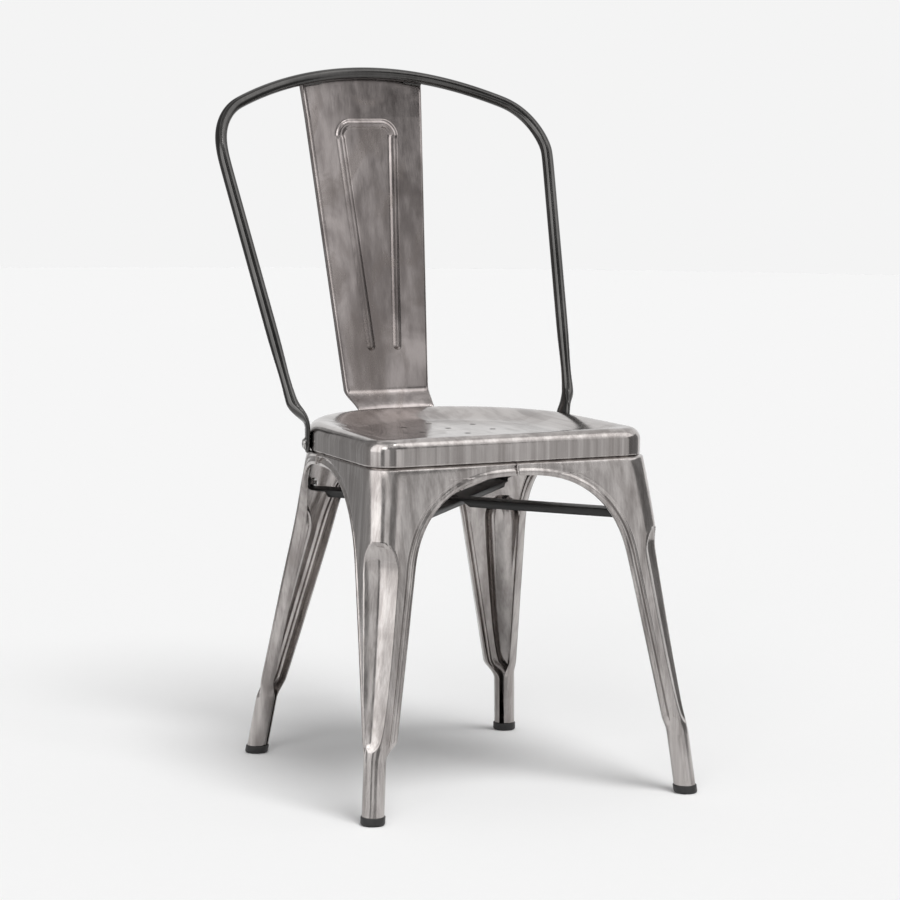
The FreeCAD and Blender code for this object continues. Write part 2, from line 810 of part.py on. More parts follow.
def splat_point(x, z):
    """Front surface of the splat."""
    back = splat_kink_y + splat_recline * (z - splat_kink_z) - splat_curve * x * x
    foot = rear_wall_y(x) + splat_sheet + piece_gap / 2
    above = smooth((z - splat_foot_top) / (splat_kink_z - splat_foot_top))
    y = mix(foot, back, above)
    # Towards its top the splat is cut along the arc of the hoop
    arc = x * x / (2 * hoop_crown_radius)
    low = splat_bead_top_z + splat_bead_corner / 2
    lowered = arc * max((z - low) / (splat_top_z - low), 0.0)
    return Vector(x, y - splat_sheet - bead_height(x, z), z - lowered)


def splat_levels():
    levels = [splat_foot_bottom, mix(splat_foot_bottom, splat_foot_top, 0.45), splat_foot_top]
    levels += [mix(splat_foot_top, splat_kink_z, share) for share in (0.25, 0.5, 0.75, 1.0)]
    levels += [mix(splat_kink_z, splat_bead_foot_z, share) for share in (0.4, 0.8)]
    leg_steps = 9
    for step in range(leg_steps + 1):
        levels.append(mix(splat_bead_foot_z, splat_bead_top_z - splat_bead_corner, step / leg_steps))
    corner_steps = 6
    for step in range(1, corner_steps + 1):
        levels.append(splat_bead_top_z - splat_bead_corner + splat_bead_corner * 1.5 * step / corner_steps)
    levels += [mix(levels[-1], splat_top_z, share) for share in (0.5, 1.0)]
    return levels


def make_back_splat():
    """Pressed strip with folded edges, a raised bead and a bent foot behind the seat."""
    grid = []
    for z in splat_levels():
        half = splat_half(z)
        fold = splat_edge_radius / 4 + splat_edge_fold * smooth((z - splat_foot_top) / splat_fold_rise)
        radius = min(splat_edge_radius, fold)
        flat = half - radius
        columns = 22
        row = []
        for column in range(columns + 1):
            row.append(splat_point(flat * (2 * column / columns - 1), z))
        for side in (-1, 1):
            edge = splat_point(side * half, z)
            turned = [
                edge + Vector(-side * radius * 0.2, radius * 0.2, 0),
                edge + Vector(0, radius, 0),
                edge + Vector(0, mix(radius, fold, 0.5) + 0.2, 0),
                edge + Vector(0, fold + 0.4, 0),
            ]
            row = row + turned if side > 0 else list(reversed(turned)) + row
        grid.append(row)
    splat = sheet_solid(grid, splat_sheet)
    for bore in splat_bolt_bores():
        splat = splat.cut(bore)
    return splat


def splat_bolt_centres():
    centres = []
    for side in (-1, 1):
        x = side * splat_bolt_spacing / 2
        centres.append(Vector(x, rear_wall_y(x), splat_bolt_height))
    return centres


def splat_bolt_bores():
    bores = []
    for centre in splat_bolt_centres():
        start = centre - Vector(0, bore_reach, 0)
        bores.append(Part.makeCylinder(splat_bolt_radius + piece_gap, 2 * bore_reach, start, Vector(0, 1, 0)))
    return bores


# Cross brace


def brace_ends(front_side):
    """Inner wall points that one bar joins, front then rear."""
    ends = []
    for is_front, side in ((True, front_side), (False, -front_side)):
        wall = WallCorner(is_front, brace_top)
        inner = wall.place(0)[0] + wall.outward * (leg_proud * brace_top / seam_z - sheet)
        ends.append(Vector(side * inner.x, inner.y, brace_top))
    return ends


def brace_crossing(front, rear):
    share = front.x / (front.x - rear.x)
    return front + (rear - front) * share


def brace_tilted(shape):
    """The flat brace tipped about its crossing so that it rises to the rear."""
    crossing = brace_crossing(*brace_ends(1))
    shape.rotate(crossing, Vector(1, 0, 0), math.degrees(math.atan(brace_rise)))
    return shape


def make_brace_bar(front_side, lies_on_top):
    """Channel bar from a front leg to the opposite rear leg, with upturned tabs."""
    front, rear = brace_ends(front_side)
    crossing = brace_crossing(front, rear)
    length = front.distanceToPoint(rear) - 2 * brace_setback
    web_top = brace_top if lies_on_top else brace_top - brace_sheet - piece_gap
    half = brace_width / 2
    web = Part.makeBox(length, brace_width, brace_sheet, Vector(brace_setback, -half, web_top - brace_sheet))
    bar = web
    flange_height = web_top - (brace_top - brace_height)
    for edge in (-half, half - brace_sheet):
        start = Vector(brace_setback + brace_end_cut, edge, web_top - flange_height)
        bar = bar.fuse(Part.makeBox(length - 2 * brace_end_cut, brace_sheet, flange_height, start))
    if lies_on_top:
        at_crossing = front.distanceToPoint(crossing)
        opening = brace_width * 1.5
        start = Vector(at_crossing - opening / 2, -brace_width, web_top - brace_sheet - flange_height)
        bar = bar.cut(Part.makeBox(opening, brace_width * 2, flange_height, start))
    bore = Part.makeCylinder(brace_stud_radius + piece_gap, length * 2, Vector(-length / 2, 0, brace_stud_z()),
                             Vector(1, 0, 0))
    for x in (brace_setback, brace_setback + length - brace_sheet):
        start = Vector(x, -brace_tab_width / 2, web_top - brace_sheet)
        tab_height = brace_top - web_top + brace_tab_height
        bar = bar.fuse(Part.makeBox(brace_sheet, brace_tab_width, tab_height, start).cut(bore))
    span = rear - front
    bar.rotate(Vector(0, 0, 0), Vector(0, 0, 1), math.degrees(math.atan2(span.y, span.x)))
    bar.translate(Vector(front.x, front.y, 0))
    bore_start = Vector(crossing.x, crossing.y, brace_top - 2 * brace_height)
    bar = bar.cut(Part.makeCylinder(brace_rivet_radius, 3 * brace_height, bore_start))
    return brace_tilted(bar.removeSplitter())


def brace_stud_z():
    return brace_top + brace_tab_height / 2 - 1


def make_brace_rivet():
    """Rivet through both bars where they cross."""
    centre = brace_crossing(*brace_ends(1))
    stack = 2 * brace_sheet + piece_gap
    low = brace_top - stack
    rivet = Part.makeCylinder(brace_rivet_radius - 0.1, stack, Vector(centre.x, centre.y, low))
    for z, up in ((brace_top, 1), (low, -1)):
        head = Part.makeCone(brace_rivet_radius * 1.8, brace_rivet_radius * 1.1, brace_rivet_radius * 0.6,
                             Vector(centre.x, centre.y, z), Vector(0, 0, up))
        rivet = rivet.fuse(head)
    return brace_tilted(rivet)


def make_brace_studs():
    """Short weld studs with nuts that hold the four tabs of the brace."""
    groups = []
    for front_side in (-1, 1):
        front, rear = brace_ends(front_side)
        direction = (rear - front).normalize()
        for wall_point, inward in ((front, direction), (rear, direction * -1)):
            base = Vector(wall_point.x, wall_point.y, brace_stud_z()) + inward * (2 * piece_gap)
            stud = Part.makeCylinder(brace_stud_radius, brace_setback + brace_sheet + nut_height + 3,
                                     base, inward)
            nut_base = base + inward * (brace_setback + brace_sheet)
            groups.append(stud.fuse(hexagon(nut_radius, nut_height, nut_base, inward)))
    return brace_tilted(Part.makeCompound(groups))


# Fasteners and welds


def hexagon(radius, height, base, direction):
    """Hexagonal prism with its base centre and direction given."""
    points = []
    for index in range(7):
        angle = math.radians(60 * index)
        points.append(Vector(radius * math.cos(angle), radius * math.sin(angle), 0))
    prism = Part.Face(Part.makePolygon(points)).extrude(Vector(0, 0, height))
    prism.Placement = FreeCAD.Placement(base, FreeCAD.Rotation(Vector(0, 0, 1), direction))
    return prism


def round_bolt(seat_point, direction, shank_radius, shank_length):
    """Low domed head standing on seat_point, shank going back against direction."""
    head_shape = Part.makeCone(bolt_head_radius, bolt_head_radius * 0.55, bolt_head_height,
                               seat_point, direction)
    shank = Part.makeCylinder(shank_radius, shank_length, seat_point, direction * -1)
    return head_shape.fuse(shank)


def make_hoop_bolts():
    bolts = []
    for side in (-1, 1):
        centre, normal = hoop_bolt_frame(side)
        stack = piece_gap / 2 + hoop_foot_thickness
        head_seat = centre + normal * (stack + washer_height + 2 * piece_gap / 3)
        shank = stack + 3 * sheet + nut_height + 3
        bolts.append(round_bolt(head_seat, normal, hoop_bolt_radius, shank))
    return Part.makeCompound(bolts)


def make_hoop_washers():
    washers = []
    for side in (-1, 1):
        centre, normal = hoop_bolt_frame(side)
        start = centre + normal * (piece_gap / 2 + hoop_foot_thickness + piece_gap / 3)
        ring = Part.makeCylinder(washer_radius, washer_height, start, normal)
        hole = Part.makeCylinder(hoop_bolt_radius + 0.1, washer_height, start, normal)
        washers.append(ring.cut(hole))
    return Part.makeCompound(washers)


def make_hoop_nuts():
    nuts = []
    for side in (-1, 1):
        centre, normal = hoop_bolt_frame(side)
        start = centre - normal * (2 * sheet + piece_gap + nut_seat_gap)
        nut = hexagon(nut_radius, nut_height, start, normal * -1)
        hole = Part.makeCylinder(hoop_bolt_radius + 0.05, nut_height, start, normal * -1)
        nuts.append(nut.cut(hole))
    return Part.makeCompound(nuts)


def make_splat_bolts():
    bolts = []
    for centre in splat_bolt_centres():
        seat = centre + Vector(0, splat_sheet + piece_gap, 0)
        bolts.append(round_bolt(seat, Vector(0, 1, 0), splat_bolt_radius, splat_sheet + 3 * sheet + nut_height + 3))
    return Part.makeCompound(bolts)


def make_splat_nuts():
    nuts = []
    for centre in splat_bolt_centres():
        inner_y = rear_wall_y(abs(centre.x) + nut_radius) - 2 * sheet - piece_gap - nut_seat_gap
        start = Vector(centre.x, inner_y, centre.z)
        nut = hexagon(nut_radius, nut_height, start, Vector(0, -1, 0))
        hole = Part.makeCylinder(splat_bolt_radius + 0.05, nut_height, start, Vector(0, -1, 0))
        nuts.append(nut.cut(hole))
    return Part.makeCompound(nuts)


def weld_bead(start, end, radius):
    """Round bead between the centres of its two round ends."""
    length = start.distanceToPoint(end)
    bead = Part.makeCylinder(radius, length, start, end - start)
    for centre in (start, end):
        bead = bead.fuse(Part.makeSphere(radius, centre))
    return bead.removeSplitter()


def make_apron_welds():
    """Beads that join the legs to each other above the four arches."""
    low = arch_top_height + apron_weld_above
    high = seam_z - apron_weld_below
    beads = []
    for is_front in (True, False):
        ends = []
        for z in (low, high):
            wall = WallCorner(is_front, z)
            point, normal = wall.place(-wall.reach_middle())
            stand_off = leg_proud * z / seam_z + apron_weld_radius + weld_clearance
            ends.append(point + normal * stand_off)
        beads.append(weld_bead(ends[0], ends[1], apron_weld_radius))
    for side in (-1, 1):
        ends = []
        for z in (low, high):
            wall = WallCorner(True, z)
            point, normal = wall.place(wall.reach_side())
            stand_off = leg_proud * z / seam_z + apron_weld_radius + weld_clearance
            point = point + normal * stand_off
            ends.append(Vector(side * point.x, point.y, z))
        beads.append(weld_bead(ends[0], ends[1], apron_weld_radius))
    return Part.makeCompound(beads)


def make_splat_welds():
    """Short beads in the corner between the hoop's crown and the front of the splat."""
    radius = splat_weld_radius
    beads = []
    for side in (-1, 1):
        ends = []
        for x in (splat_weld_start * side, splat_weld_end * side):
            z = crown_z - x * x / (2 * hoop_crown_radius)
            half_width = hoop_path()[-1 - hoop_side_steps].x
            y = hoop_y_at_rim + hoop_recline * (z - seat_rim_height)
            y += hoop_bow * math.sqrt(1 - (x / half_width) ** 2)
            weld_y = splat_point(x, z - hoop_tube_radius).y - radius - weld_clearance
            apart = hoop_tube_radius + radius + weld_clearance
            ends.append(Vector(x, weld_y, z - math.sqrt(apart ** 2 - (weld_y - y) ** 2)))
        beads.append(weld_bead(ends[0], ends[1], radius))
    return Part.makeCompound(beads)


def main():
    os.makedirs("parts", exist_ok=True)
    right_front = make_leg(True)
    right_rear = make_leg(False)
    front_cap = make_foot_cap(True)
    rear_cap = make_foot_cap(False)
    for bore in hoop_bolt_bores()[1:] + splat_bolt_bores()[1:]:
        right_rear = right_rear.cut(bore)
    nodes = {
        "seat_pan": make_seat_pan(),
        "leg_front_right": right_front,
        "leg_front_left": right_front.mirror(*mirror_plane),
        "leg_rear_right": right_rear,
        "leg_rear_left": right_rear.mirror(*mirror_plane),
        "foot_cap_front_right": front_cap,
        "foot_cap_front_left": front_cap.mirror(*mirror_plane),
        "foot_cap_rear_right": rear_cap,
        "foot_cap_rear_left": rear_cap.mirror(*mirror_plane),
        "back_hoop": make_back_hoop(),
        "back_splat": make_back_splat(),
        "brace_bar_upper": make_brace_bar(1, True),
        "brace_bar_lower": make_brace_bar(-1, False),
        "brace_rivet": make_brace_rivet(),
        "brace_stud_nuts": make_brace_studs(),
        "hoop_bolts": make_hoop_bolts(),
        "hoop_washers": make_hoop_washers(),
        "hoop_nuts": make_hoop_nuts(),
        "splat_bolts": make_splat_bolts(),
        "splat_nuts": make_splat_nuts(),
        "apron_welds": make_apron_welds(),
        "splat_welds": make_splat_welds(),
    }
    for name, shape in nodes.items():
        shape.exportStep("parts/" + name + ".step")
        box = shape.BoundBox
        print(name, shape.isValid(), len(shape.Solids), round(shape.Volume), [
            round(value, 1) for value in (box.XMin, box.XMax, box.YMin, box.YMax, box.ZMin, box.ZMax)])


main()
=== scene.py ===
# %% [markdown]
# # A cafe chair of pressed sheet steel
#
# The real chair is thin sheet that was pressed, folded and welded: a dished seat with a
# skirt, four fluted legs that form arches between them, a hoop bent from one tube and a
# splat with a raised bead. Pressed sheet has no cut blocks in it, only creases, steps and
# rolled lips. So each large piece here is a fine grid of points that a formula places, and
# the sheet's thickness is added afterwards.
#
# Lengths are in millimetres, as on a sheet-metal drawing. A mesh gets them in metres.

# %% Load the frame
import math

import bmesh
import bpy
from mathutils import Matrix, Vector


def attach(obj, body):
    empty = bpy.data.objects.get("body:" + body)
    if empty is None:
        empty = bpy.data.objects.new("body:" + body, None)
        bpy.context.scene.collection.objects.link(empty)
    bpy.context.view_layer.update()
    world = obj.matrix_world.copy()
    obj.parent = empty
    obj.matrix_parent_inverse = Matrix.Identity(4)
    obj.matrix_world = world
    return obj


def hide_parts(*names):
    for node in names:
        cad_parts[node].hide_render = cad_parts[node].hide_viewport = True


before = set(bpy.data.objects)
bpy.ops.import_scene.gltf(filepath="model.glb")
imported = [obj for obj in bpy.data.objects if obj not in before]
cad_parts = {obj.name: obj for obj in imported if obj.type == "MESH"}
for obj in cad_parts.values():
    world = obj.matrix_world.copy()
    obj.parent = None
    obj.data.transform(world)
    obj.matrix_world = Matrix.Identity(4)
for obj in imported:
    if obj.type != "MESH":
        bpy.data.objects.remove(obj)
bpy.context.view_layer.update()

scene = bpy.context.scene
scene.view_settings.view_transform = "Standard"
mm = 0.001

# %% [markdown]
# ## Walking between values
#
# `mix` goes in a straight line from one value to another. `ease` is a walk from 0 to 1
# that starts and stops softly, the way metal runs into and out of a bend. `soft_floor`
# cuts off everything below zero and rounds the crease that this leaves, which is what a
# press tool with a small radius does. `in_parts` sets out the rows of a piece, close
# together where the sheet bends and wide apart where it is straight. `quarter_turn` bends
# an edge through a right angle, `circle` goes once round, and `seen_from` points from the
# chair to a place in the studio.

# %% Small helpers
def mix(a, b, t):
    return a + (b - a) * t


def ease(t):
    t = min(max(t, 0.0), 1.0)
    return t * t * (3 - 2 * t)


def soft_floor(value, rounding):
    return (value + math.sqrt(value * value + rounding * rounding)) / 2


def steps_between(a, b, count):
    """Values after a, up to and with b."""
    return [mix(a, b, step / count) for step in range(1, count + 1)]


def in_parts(start, *parts):
    """Values after start, each part told by its end and its number of steps."""
    values = []
    for end, count in parts:
        values += steps_between(start, end, count)
        start = end
    return values


print("wide steps, then narrow ones:", in_parts(0, (2, 2), (3, 4)))


# %% Turns and directions
def quarter_turn(radius, count):
    """How far ahead and how far down a bend has gone after each step."""
    return [(radius * math.sin(angle), radius * (1 - math.cos(angle)))
            for angle in steps_between(0, math.pi / 2, count)]


def circle(count):
    angles = [math.tau * step / count for step in range(count)]
    return [(math.cos(angle), math.sin(angle)) for angle in angles]


def seen_from(turn, height):
    """Direction in degrees: turn goes round from the front (left is negative), height goes up."""
    a, h = math.radians(turn), math.radians(height)
    return Vector((math.sin(a) * math.cos(h), -math.cos(a) * math.cos(h), math.sin(h)))


print("half of a quarter turn:", quarter_turn(1.0, 2)[0])

# %% [markdown]
# ## From rows of points to a piece
#
# A grid is a list of rows, and each row has as many points as the next. Four neighbouring
# points make a face. A tube or a ring is a grid whose rows close on themselves. The other
# way to make such pieces is to sculpt them, but a formula repeats exactly, and the left
# half of the chair can be the mirror image of the right half.

# %% Grids into meshes
def put_in_scene(name, data):
    placed = bpy.data.objects.new(name, data)
    scene.collection.objects.link(placed)
    return placed


def grid_object(name, grid, closed=False, capped=False, flipped=False):
    """Mesh object over a grid of points in millimetres."""
    columns = len(grid[0])
    reach = columns if closed else columns - 1
    points = [tuple(point * mm) for row in grid for point in row]
    faces = []
    for i in range(len(grid) - 1):
        low = i * columns
        for j in range(reach):
            k = (j + 1) % columns
            faces.append((low + j, low + k, low + columns + k, low + columns + j))
    if capped:
        last = (len(grid) - 1) * columns
        faces.append(tuple(reversed(range(columns))))
        faces.append(tuple(range(last, last + columns)))
    if flipped:
        faces = [tuple(reversed(face)) for face in faces]
    mesh = bpy.data.meshes.new(name)
    mesh.from_pydata(points, [], faces)
    mesh.shade_smooth()
    return put_in_scene(name, mesh)


def mirrored(grid):
    return [[Vector((-point.x, point.y, point.z)) for point in row] for row in grid]


def add_sheet(piece, thickness):
    """The grid is the outer face, and the sheet goes inwards from it."""
    layer = piece.modifiers.new("sheet", "SOLIDIFY")
    layer.thickness = thickness * mm
    layer.offset = -1


print("points are placed in millimetres and drawn at", mm)

# %% Dressing a piece
def install(piece, slot, material, *nodes):
    """Gives a piece its finish, hides the nodes of the frame that it stands for, and hangs it on
    the root.
    """
    piece.data.materials.append(material)
    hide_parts(*nodes)
    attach(piece, "root")
    print(piece.name, len(piece.data.vertices), "points")


# %% [markdown]
# ## Camera
#
# A product picture is taken from a good distance with a long lens, so that the legs stay
# nearly parallel. The camera is placed as a photographer would say it: where it stands, how
# far round the chair it is, how steeply it looks down, and how much it is tilted sideways.

# %% Camera
camera_turn = -26.13
camera_height = 7.01
camera_roll = 0.00833
camera_stands = Vector((-1.7533, -3.5892, 0.8822))
camera_lens = 133.1
camera_sensor = 36.0

backwards = seen_from(camera_turn, camera_height)
turn = math.radians(camera_turn)
rightwards = Vector((math.cos(turn), math.sin(turn), 0))
upwards = backwards.cross(rightwards)
camera_right = rightwards * math.cos(camera_roll) + upwards * math.sin(camera_roll)
camera_up = upwards * math.cos(camera_roll) - rightwards * math.sin(camera_roll)

camera = put_in_scene("camera", bpy.data.cameras.new("camera"))
camera.data.sensor_width = camera_sensor
camera.data.lens = camera_lens
axes = Matrix((camera_right, camera_up, backwards)).transposed()
camera.matrix_world = Matrix.Translation(camera_stands) @ axes.to_4x4()
scene.camera = camera
print("camera at", tuple(round(value, 3) for value in camera_stands))

# %% [markdown]
# ## Shader maths
#
# A procedural finish is arithmetic on values that change over the surface. `Wire` holds
# one output socket, and its operators put in the Math nodes, so that a mask can be written
# as `1 - stain * 0.5`. Every other node comes from `Finish.node`, which sets the node's
# settings first and fills its sockets afterwards. A noise has one scale each along x, y and
# z, as cells per metre, so that it can be fine across the sheet and long down it.

# %% Wires
class Wire:
    """One output socket that can be calculated with."""

    def __init__(self, finish, socket):
        self.finish = finish
        self.socket = socket

    def maths(self, operation, first, second):
        return self.finish.node("ShaderNodeMath", {"operation": operation}, {0: first, 1: second})

    def __add__(self, other):
        return self.maths("ADD", self, other)

    def __radd__(self, other):
        return self.maths("ADD", other, self)

    def __sub__(self, other):
        return self.maths("SUBTRACT", self, other)

    def __rsub__(self, other):
        return self.maths("SUBTRACT", other, self)

    def __mul__(self, other):
        return self.maths("MULTIPLY", self, other)

    def between(self, low, high):
        """0 below low, 1 above high, and a soft walk in between."""
        settings = {"interpolation_type": "SMOOTHSTEP"}
        return self.finish.node("ShaderNodeMapRange", settings,
                                {"Value": self, "From Min": low, "From Max": high})


print("operators of a wire:", [name for name in vars(Wire) if name.startswith("__r")])


# %% Finishes
class Finish:
    """A material and the nodes that are put in it."""

    def __init__(self, name):
        self.material = bpy.data.materials.new(name)
        self.material.use_nodes = True
        self.tree = self.material.node_tree
        self.shader = self.tree.nodes["Principled BSDF"]
        self.place = self.node("ShaderNodeTexCoord", output="Object")

    def fill(self, socket, value):
        if isinstance(value, Wire):
            self.tree.links.new(value.socket, socket)
        else:
            socket.default_value = value

    def node(self, kind, settings=None, sockets=None, output=0):
        made = self.tree.nodes.new(kind)
        for key, value in (settings or {}).items():
            setattr(made, key, value)
        for key, value in (sockets or {}).items():
            self.fill(made.inputs[key], value)
        return Wire(self, made.outputs[output])

    def set(self, **sockets):
        for key, value in sockets.items():
            self.fill(self.shader.inputs[key.replace("_", " ")], value)

    def noise(self, scale, detail=3.0, roughness=0.55, distortion=0.0):
        stretched = self.node("ShaderNodeMapping", {"vector_type": "POINT"},
                              {"Vector": self.place, "Scale": scale})
        return self.node("ShaderNodeTexNoise", {"noise_dimensions": "3D"}, {
            "Vector": stretched, "Scale": 1.0, "Detail": detail,
            "Roughness": roughness, "Distortion": distortion})

    def veil(self, share, under, colour):
        """Lays a colour over another one by share."""
        return self.node("ShaderNodeMix", {"data_type": "RGBA"},
                         {0: share, 6: under, 7: (*colour, 1.0)}, output=2)

    def tint(self, share, low, high):
        """Colour that goes from low to high with share."""
        return self.veil(share, (*low, 1.0), high)

    def bump(self, height, strength, distance):
        return self.node("ShaderNodeBump", None,
                         {"Height": height, "Strength": strength, "Distance": distance * mm})


print("a finish offers:", [name for name in vars(Finish) if not name.startswith("_")])

# %% [markdown]
# ## Raw steel
#
# The bare steel under its clear coat is a warm grey. Brush lines run down the sheet in
# streaks of different tone, clouds of darker and browner steel lie under them, and a few
# stains have a dark rim where cleaning fluid dried. Brush lines are noise that is drawn out
# along one direction. On the level parts of the seat they would turn into dots, so there
# another noise with its own direction takes over, chosen by how much the surface faces up.

# %% Raw steel
stain_tone = (0.22, 0.192, 0.18)
plain_tones = ((0.31, 0.286, 0.276), (0.54, 0.51, 0.495))
splat_tones = ((0.18, 0.159, 0.154), (0.44, 0.4, 0.39))
brush_on_walls = (480, 480, 4)
brush_on_level = (330, 12, 330)
streaks_on_walls = (90, 90, 2.5)
streaks_on_level = (60, 7, 60)


def raw_steel(name, tones, roughness, stain_share, cloud_share, streak_share, wave_depth):
    finish = Finish(name)
    facing = finish.node("ShaderNodeSeparateXYZ", None, {
        0: finish.node("ShaderNodeNewGeometry", output="Normal")}, output="Z")
    level = facing.between(0.75, 0.93)

    def drawn_out(on_walls, on_level, detail):
        walls = finish.noise(on_walls, detail=detail, roughness=0.5) * (1 - level)
        return walls + finish.noise(on_level, detail=detail, roughness=0.5) * level

    fine = drawn_out(brush_on_walls, brush_on_level, 3)
    streaks = drawn_out(streaks_on_walls, streaks_on_level, 2)
    clouds = finish.noise((11, 11, 8), detail=3, roughness=0.5, distortion=0.7)
    patches = finish.noise((17, 17, 12), detail=3, roughness=0.5, distortion=1.4)
    waves = finish.noise((10, 10, 6), detail=1)
    specks = finish.noise((900, 900, 900), detail=1)
    tone = 0.5 + (clouds - 0.5) * cloud_share + (streaks + fine * 0.4 - 0.7) * streak_share
    base = finish.tint(tone.between(0.2, 0.8), *tones)
    dried = patches.between(0.5, 0.64) * (1 - patches.between(0.64, 0.76) * 0.6)
    finish.set(
        Base_Color=finish.veil(dried * stain_share, base, stain_tone),
        Metallic=1.0,
        Roughness=roughness + (fine - 0.5) * 0.08 + (streaks - 0.5) * 0.08 + dried * 0.07,
        Normal=finish.bump(waves * wave_depth + fine * 0.0035 + specks * 0.0008, 1.0, 1.0),
    )
    return finish.material


sheet_steel = raw_steel("raw_steel_sheet", plain_tones, roughness=0.17, stain_share=0.2,
                        cloud_share=0.3, streak_share=1.1, wave_depth=0.45)
seat_steel = raw_steel("raw_steel_seat", plain_tones, roughness=0.15, stain_share=0.2,
                       cloud_share=0.6, streak_share=1.0, wave_depth=0.6)
splat_steel = raw_steel("raw_steel_splat", splat_tones, roughness=0.2, stain_share=0.5,
                        cloud_share=1.5, streak_share=0.4, wave_depth=0.6)
print("nodes in the seat's steel:", len(seat_steel.node_tree.nodes))

# %% [markdown]
# ## Darkened tube, black paint, black plastic and bolts
#
# The hoop is tube steel with a darker, smoother skin. Its fine marks run along it, because
# tube is drawn through a die. The brace is painted black, the foot caps are
# moulded from black plastic, and the bolts are small, so a fine speckle is enough.

# %% Darkened tube
tube_tones = ((0.045, 0.044, 0.043), (0.12, 0.117, 0.114))


def tube_steel():
    finish = Finish("darkened_tube_steel")
    drawn = finish.noise((260, 260, 5), detail=2)
    clouds = finish.noise((20, 20, 14), detail=4, distortion=0.5)
    finish.set(
        Base_Color=finish.tint(clouds + (drawn - 0.5) * 0.4, *tube_tones),
        Metallic=1.0,
        Roughness=0.14 + (clouds - 0.5) * 0.12,
        Normal=finish.bump(drawn, 0.01, 0.2),
    )
    return finish.material


hoop_steel = tube_steel()
print("finish:", hoop_steel.name)

# %% Black paint and black plastic
paint_tones = ((0.008, 0.008, 0.009), (0.024, 0.023, 0.022))
plastic_tones = ((0.008, 0.008, 0.009), (0.022, 0.021, 0.02))


def black_paint():
    finish = Finish("black_brace_paint")
    grain = finish.noise((700, 700, 700), detail=2)
    dust = finish.noise((30, 30, 30), detail=5, roughness=0.7)
    finish.set(
        Base_Color=finish.tint(dust, *paint_tones),
        Roughness=0.42 + (grain - 0.5) * 0.2,
        Normal=finish.bump(grain, 0.12, 0.12),
    )
    return finish.material


def black_plastic():
    finish = Finish("black_cap_plastic")
    grain = finish.noise((1100, 1100, 1100), detail=2)
    scuffs = finish.noise((90, 90, 25), detail=4, roughness=0.7)
    finish.set(
        Base_Color=finish.tint(scuffs, *plastic_tones),
        Roughness=0.46 + (scuffs - 0.5) * 0.25,
        Normal=finish.bump(grain, 0.2, 0.1),
    )
    return finish.material


brace_black = black_paint()
cap_black = black_plastic()
print("finishes:", brace_black.name, cap_black.name)

# %% Bright bolts
bolt_tones = ((0.42, 0.41, 0.4), (0.6, 0.59, 0.58))


def bolt_steel():
    finish = Finish("bright_bolt_steel")
    speckle = finish.noise((600, 600, 600), detail=3)
    finish.set(
        Base_Color=finish.tint(speckle, *bolt_tones),
        Metallic=1.0,
        Roughness=0.25 + (speckle - 0.5) * 0.2,
        Normal=finish.bump(speckle, 0.05, 0.1),
    )
    return finish.material


fastener_bright = bolt_steel()
print("finish:", fastener_bright.name)

# %% [markdown]
# ## The wall that legs and skirt share
#
# Seen from above, skirt and legs follow one outline: straight sides with a tight corner in
# front and a wide one at the back. Going down it spreads, and its corners tighten until
# they are as round as the rolled feet. A place on the outline is told by its distance from
# the middle of the corner, negative towards the front or back middle, positive towards
# the side.

# %% Sizes of the outline
seam_z = 398.5
sheet = 1.3
piece_gap = 0.3
front_corner_seam = (180.0, -187.5)
front_corner_floor = (218.3, -253.7)
rear_corner_seam = (170.0, 139.0)
rear_corner_floor = (185.6, 185.9)
front_radius_seam = 33.0
rear_radius_seam = 162.0
leg_proud = 2.0
front_bulge = 6.0
rear_hollow = 3.0
tube_radius = 13.0
tube_top_height = 70.0
knee_height = 94.0
joggle_height = 3.0
tube_seam_angle = 15.0
leg_bottom_height = 3.5
rear_knee_inset = 8.0
side_meeting_y = -20.0
print("seam between skirt and legs at", seam_z)

# %% One rounded corner of the outline
def wall_corner(is_front, z):
    """Sharp corner (x, y) and radius of the right-hand wall at height z."""
    t = (seam_z - z) / seam_z
    swell = 4 * (math.sqrt(t) - t) if t > 0 else 0.0
    if is_front:
        top, floor, radius = front_corner_seam, front_corner_floor, front_radius_seam
        bulge = (0.0, front_bulge)
    else:
        top, floor, radius = rear_corner_seam, rear_corner_floor, rear_radius_seam
        bulge = (rear_hollow, rear_hollow)
    return (mix(top[0], floor[0], t) - bulge[0] * swell,
            mix(top[1], floor[1], t) - bulge[1] * swell,
            mix(radius, tube_radius, t))


class WallCorner:
    """The wall round one corner, with places on it told by their distance s from its middle."""

    def __init__(self, is_front, z):
        x, y, self.radius = wall_corner(is_front, z)
        other_x, other_y = wall_corner(not is_front, z)[:2]
        self.sharp = Vector((x, y, z))
        self.to_middle = Vector((-1, 0, 0))
        self.to_side = Vector((other_x - x, other_y - y, 0)).normalized()
        self.half_turn = (math.pi - self.to_middle.angle(self.to_side)) / 2
        self.half_arc = self.radius * self.half_turn
        self.tangent = self.radius * math.tan(self.half_turn)
        bisector = (self.to_middle + self.to_side).normalized()
        self.centre = self.sharp + bisector * (self.radius / math.cos(self.half_turn))
        self.outward = -bisector
        self.spin = 1 if is_front else -1

    def at(self, s):
        """Point on the wall and its outward normal."""
        beyond = abs(s) - self.half_arc
        angle = self.spin * min(max(s, -self.half_arc), self.half_arc) / self.radius
        normal = Matrix.Rotation(angle, 3, "Z") @ self.outward
        point = self.centre + normal * self.radius
        if beyond > 0:
            point = point + (self.to_middle if s < 0 else self.to_side) * beyond
        return point, normal

    def reach_middle(self):
        return self.half_arc + self.sharp.x - self.tangent

    def reach_side(self):
        along_side = abs(self.sharp.y - side_meeting_y) / abs(self.to_side.y)
        return self.half_arc + along_side - self.tangent


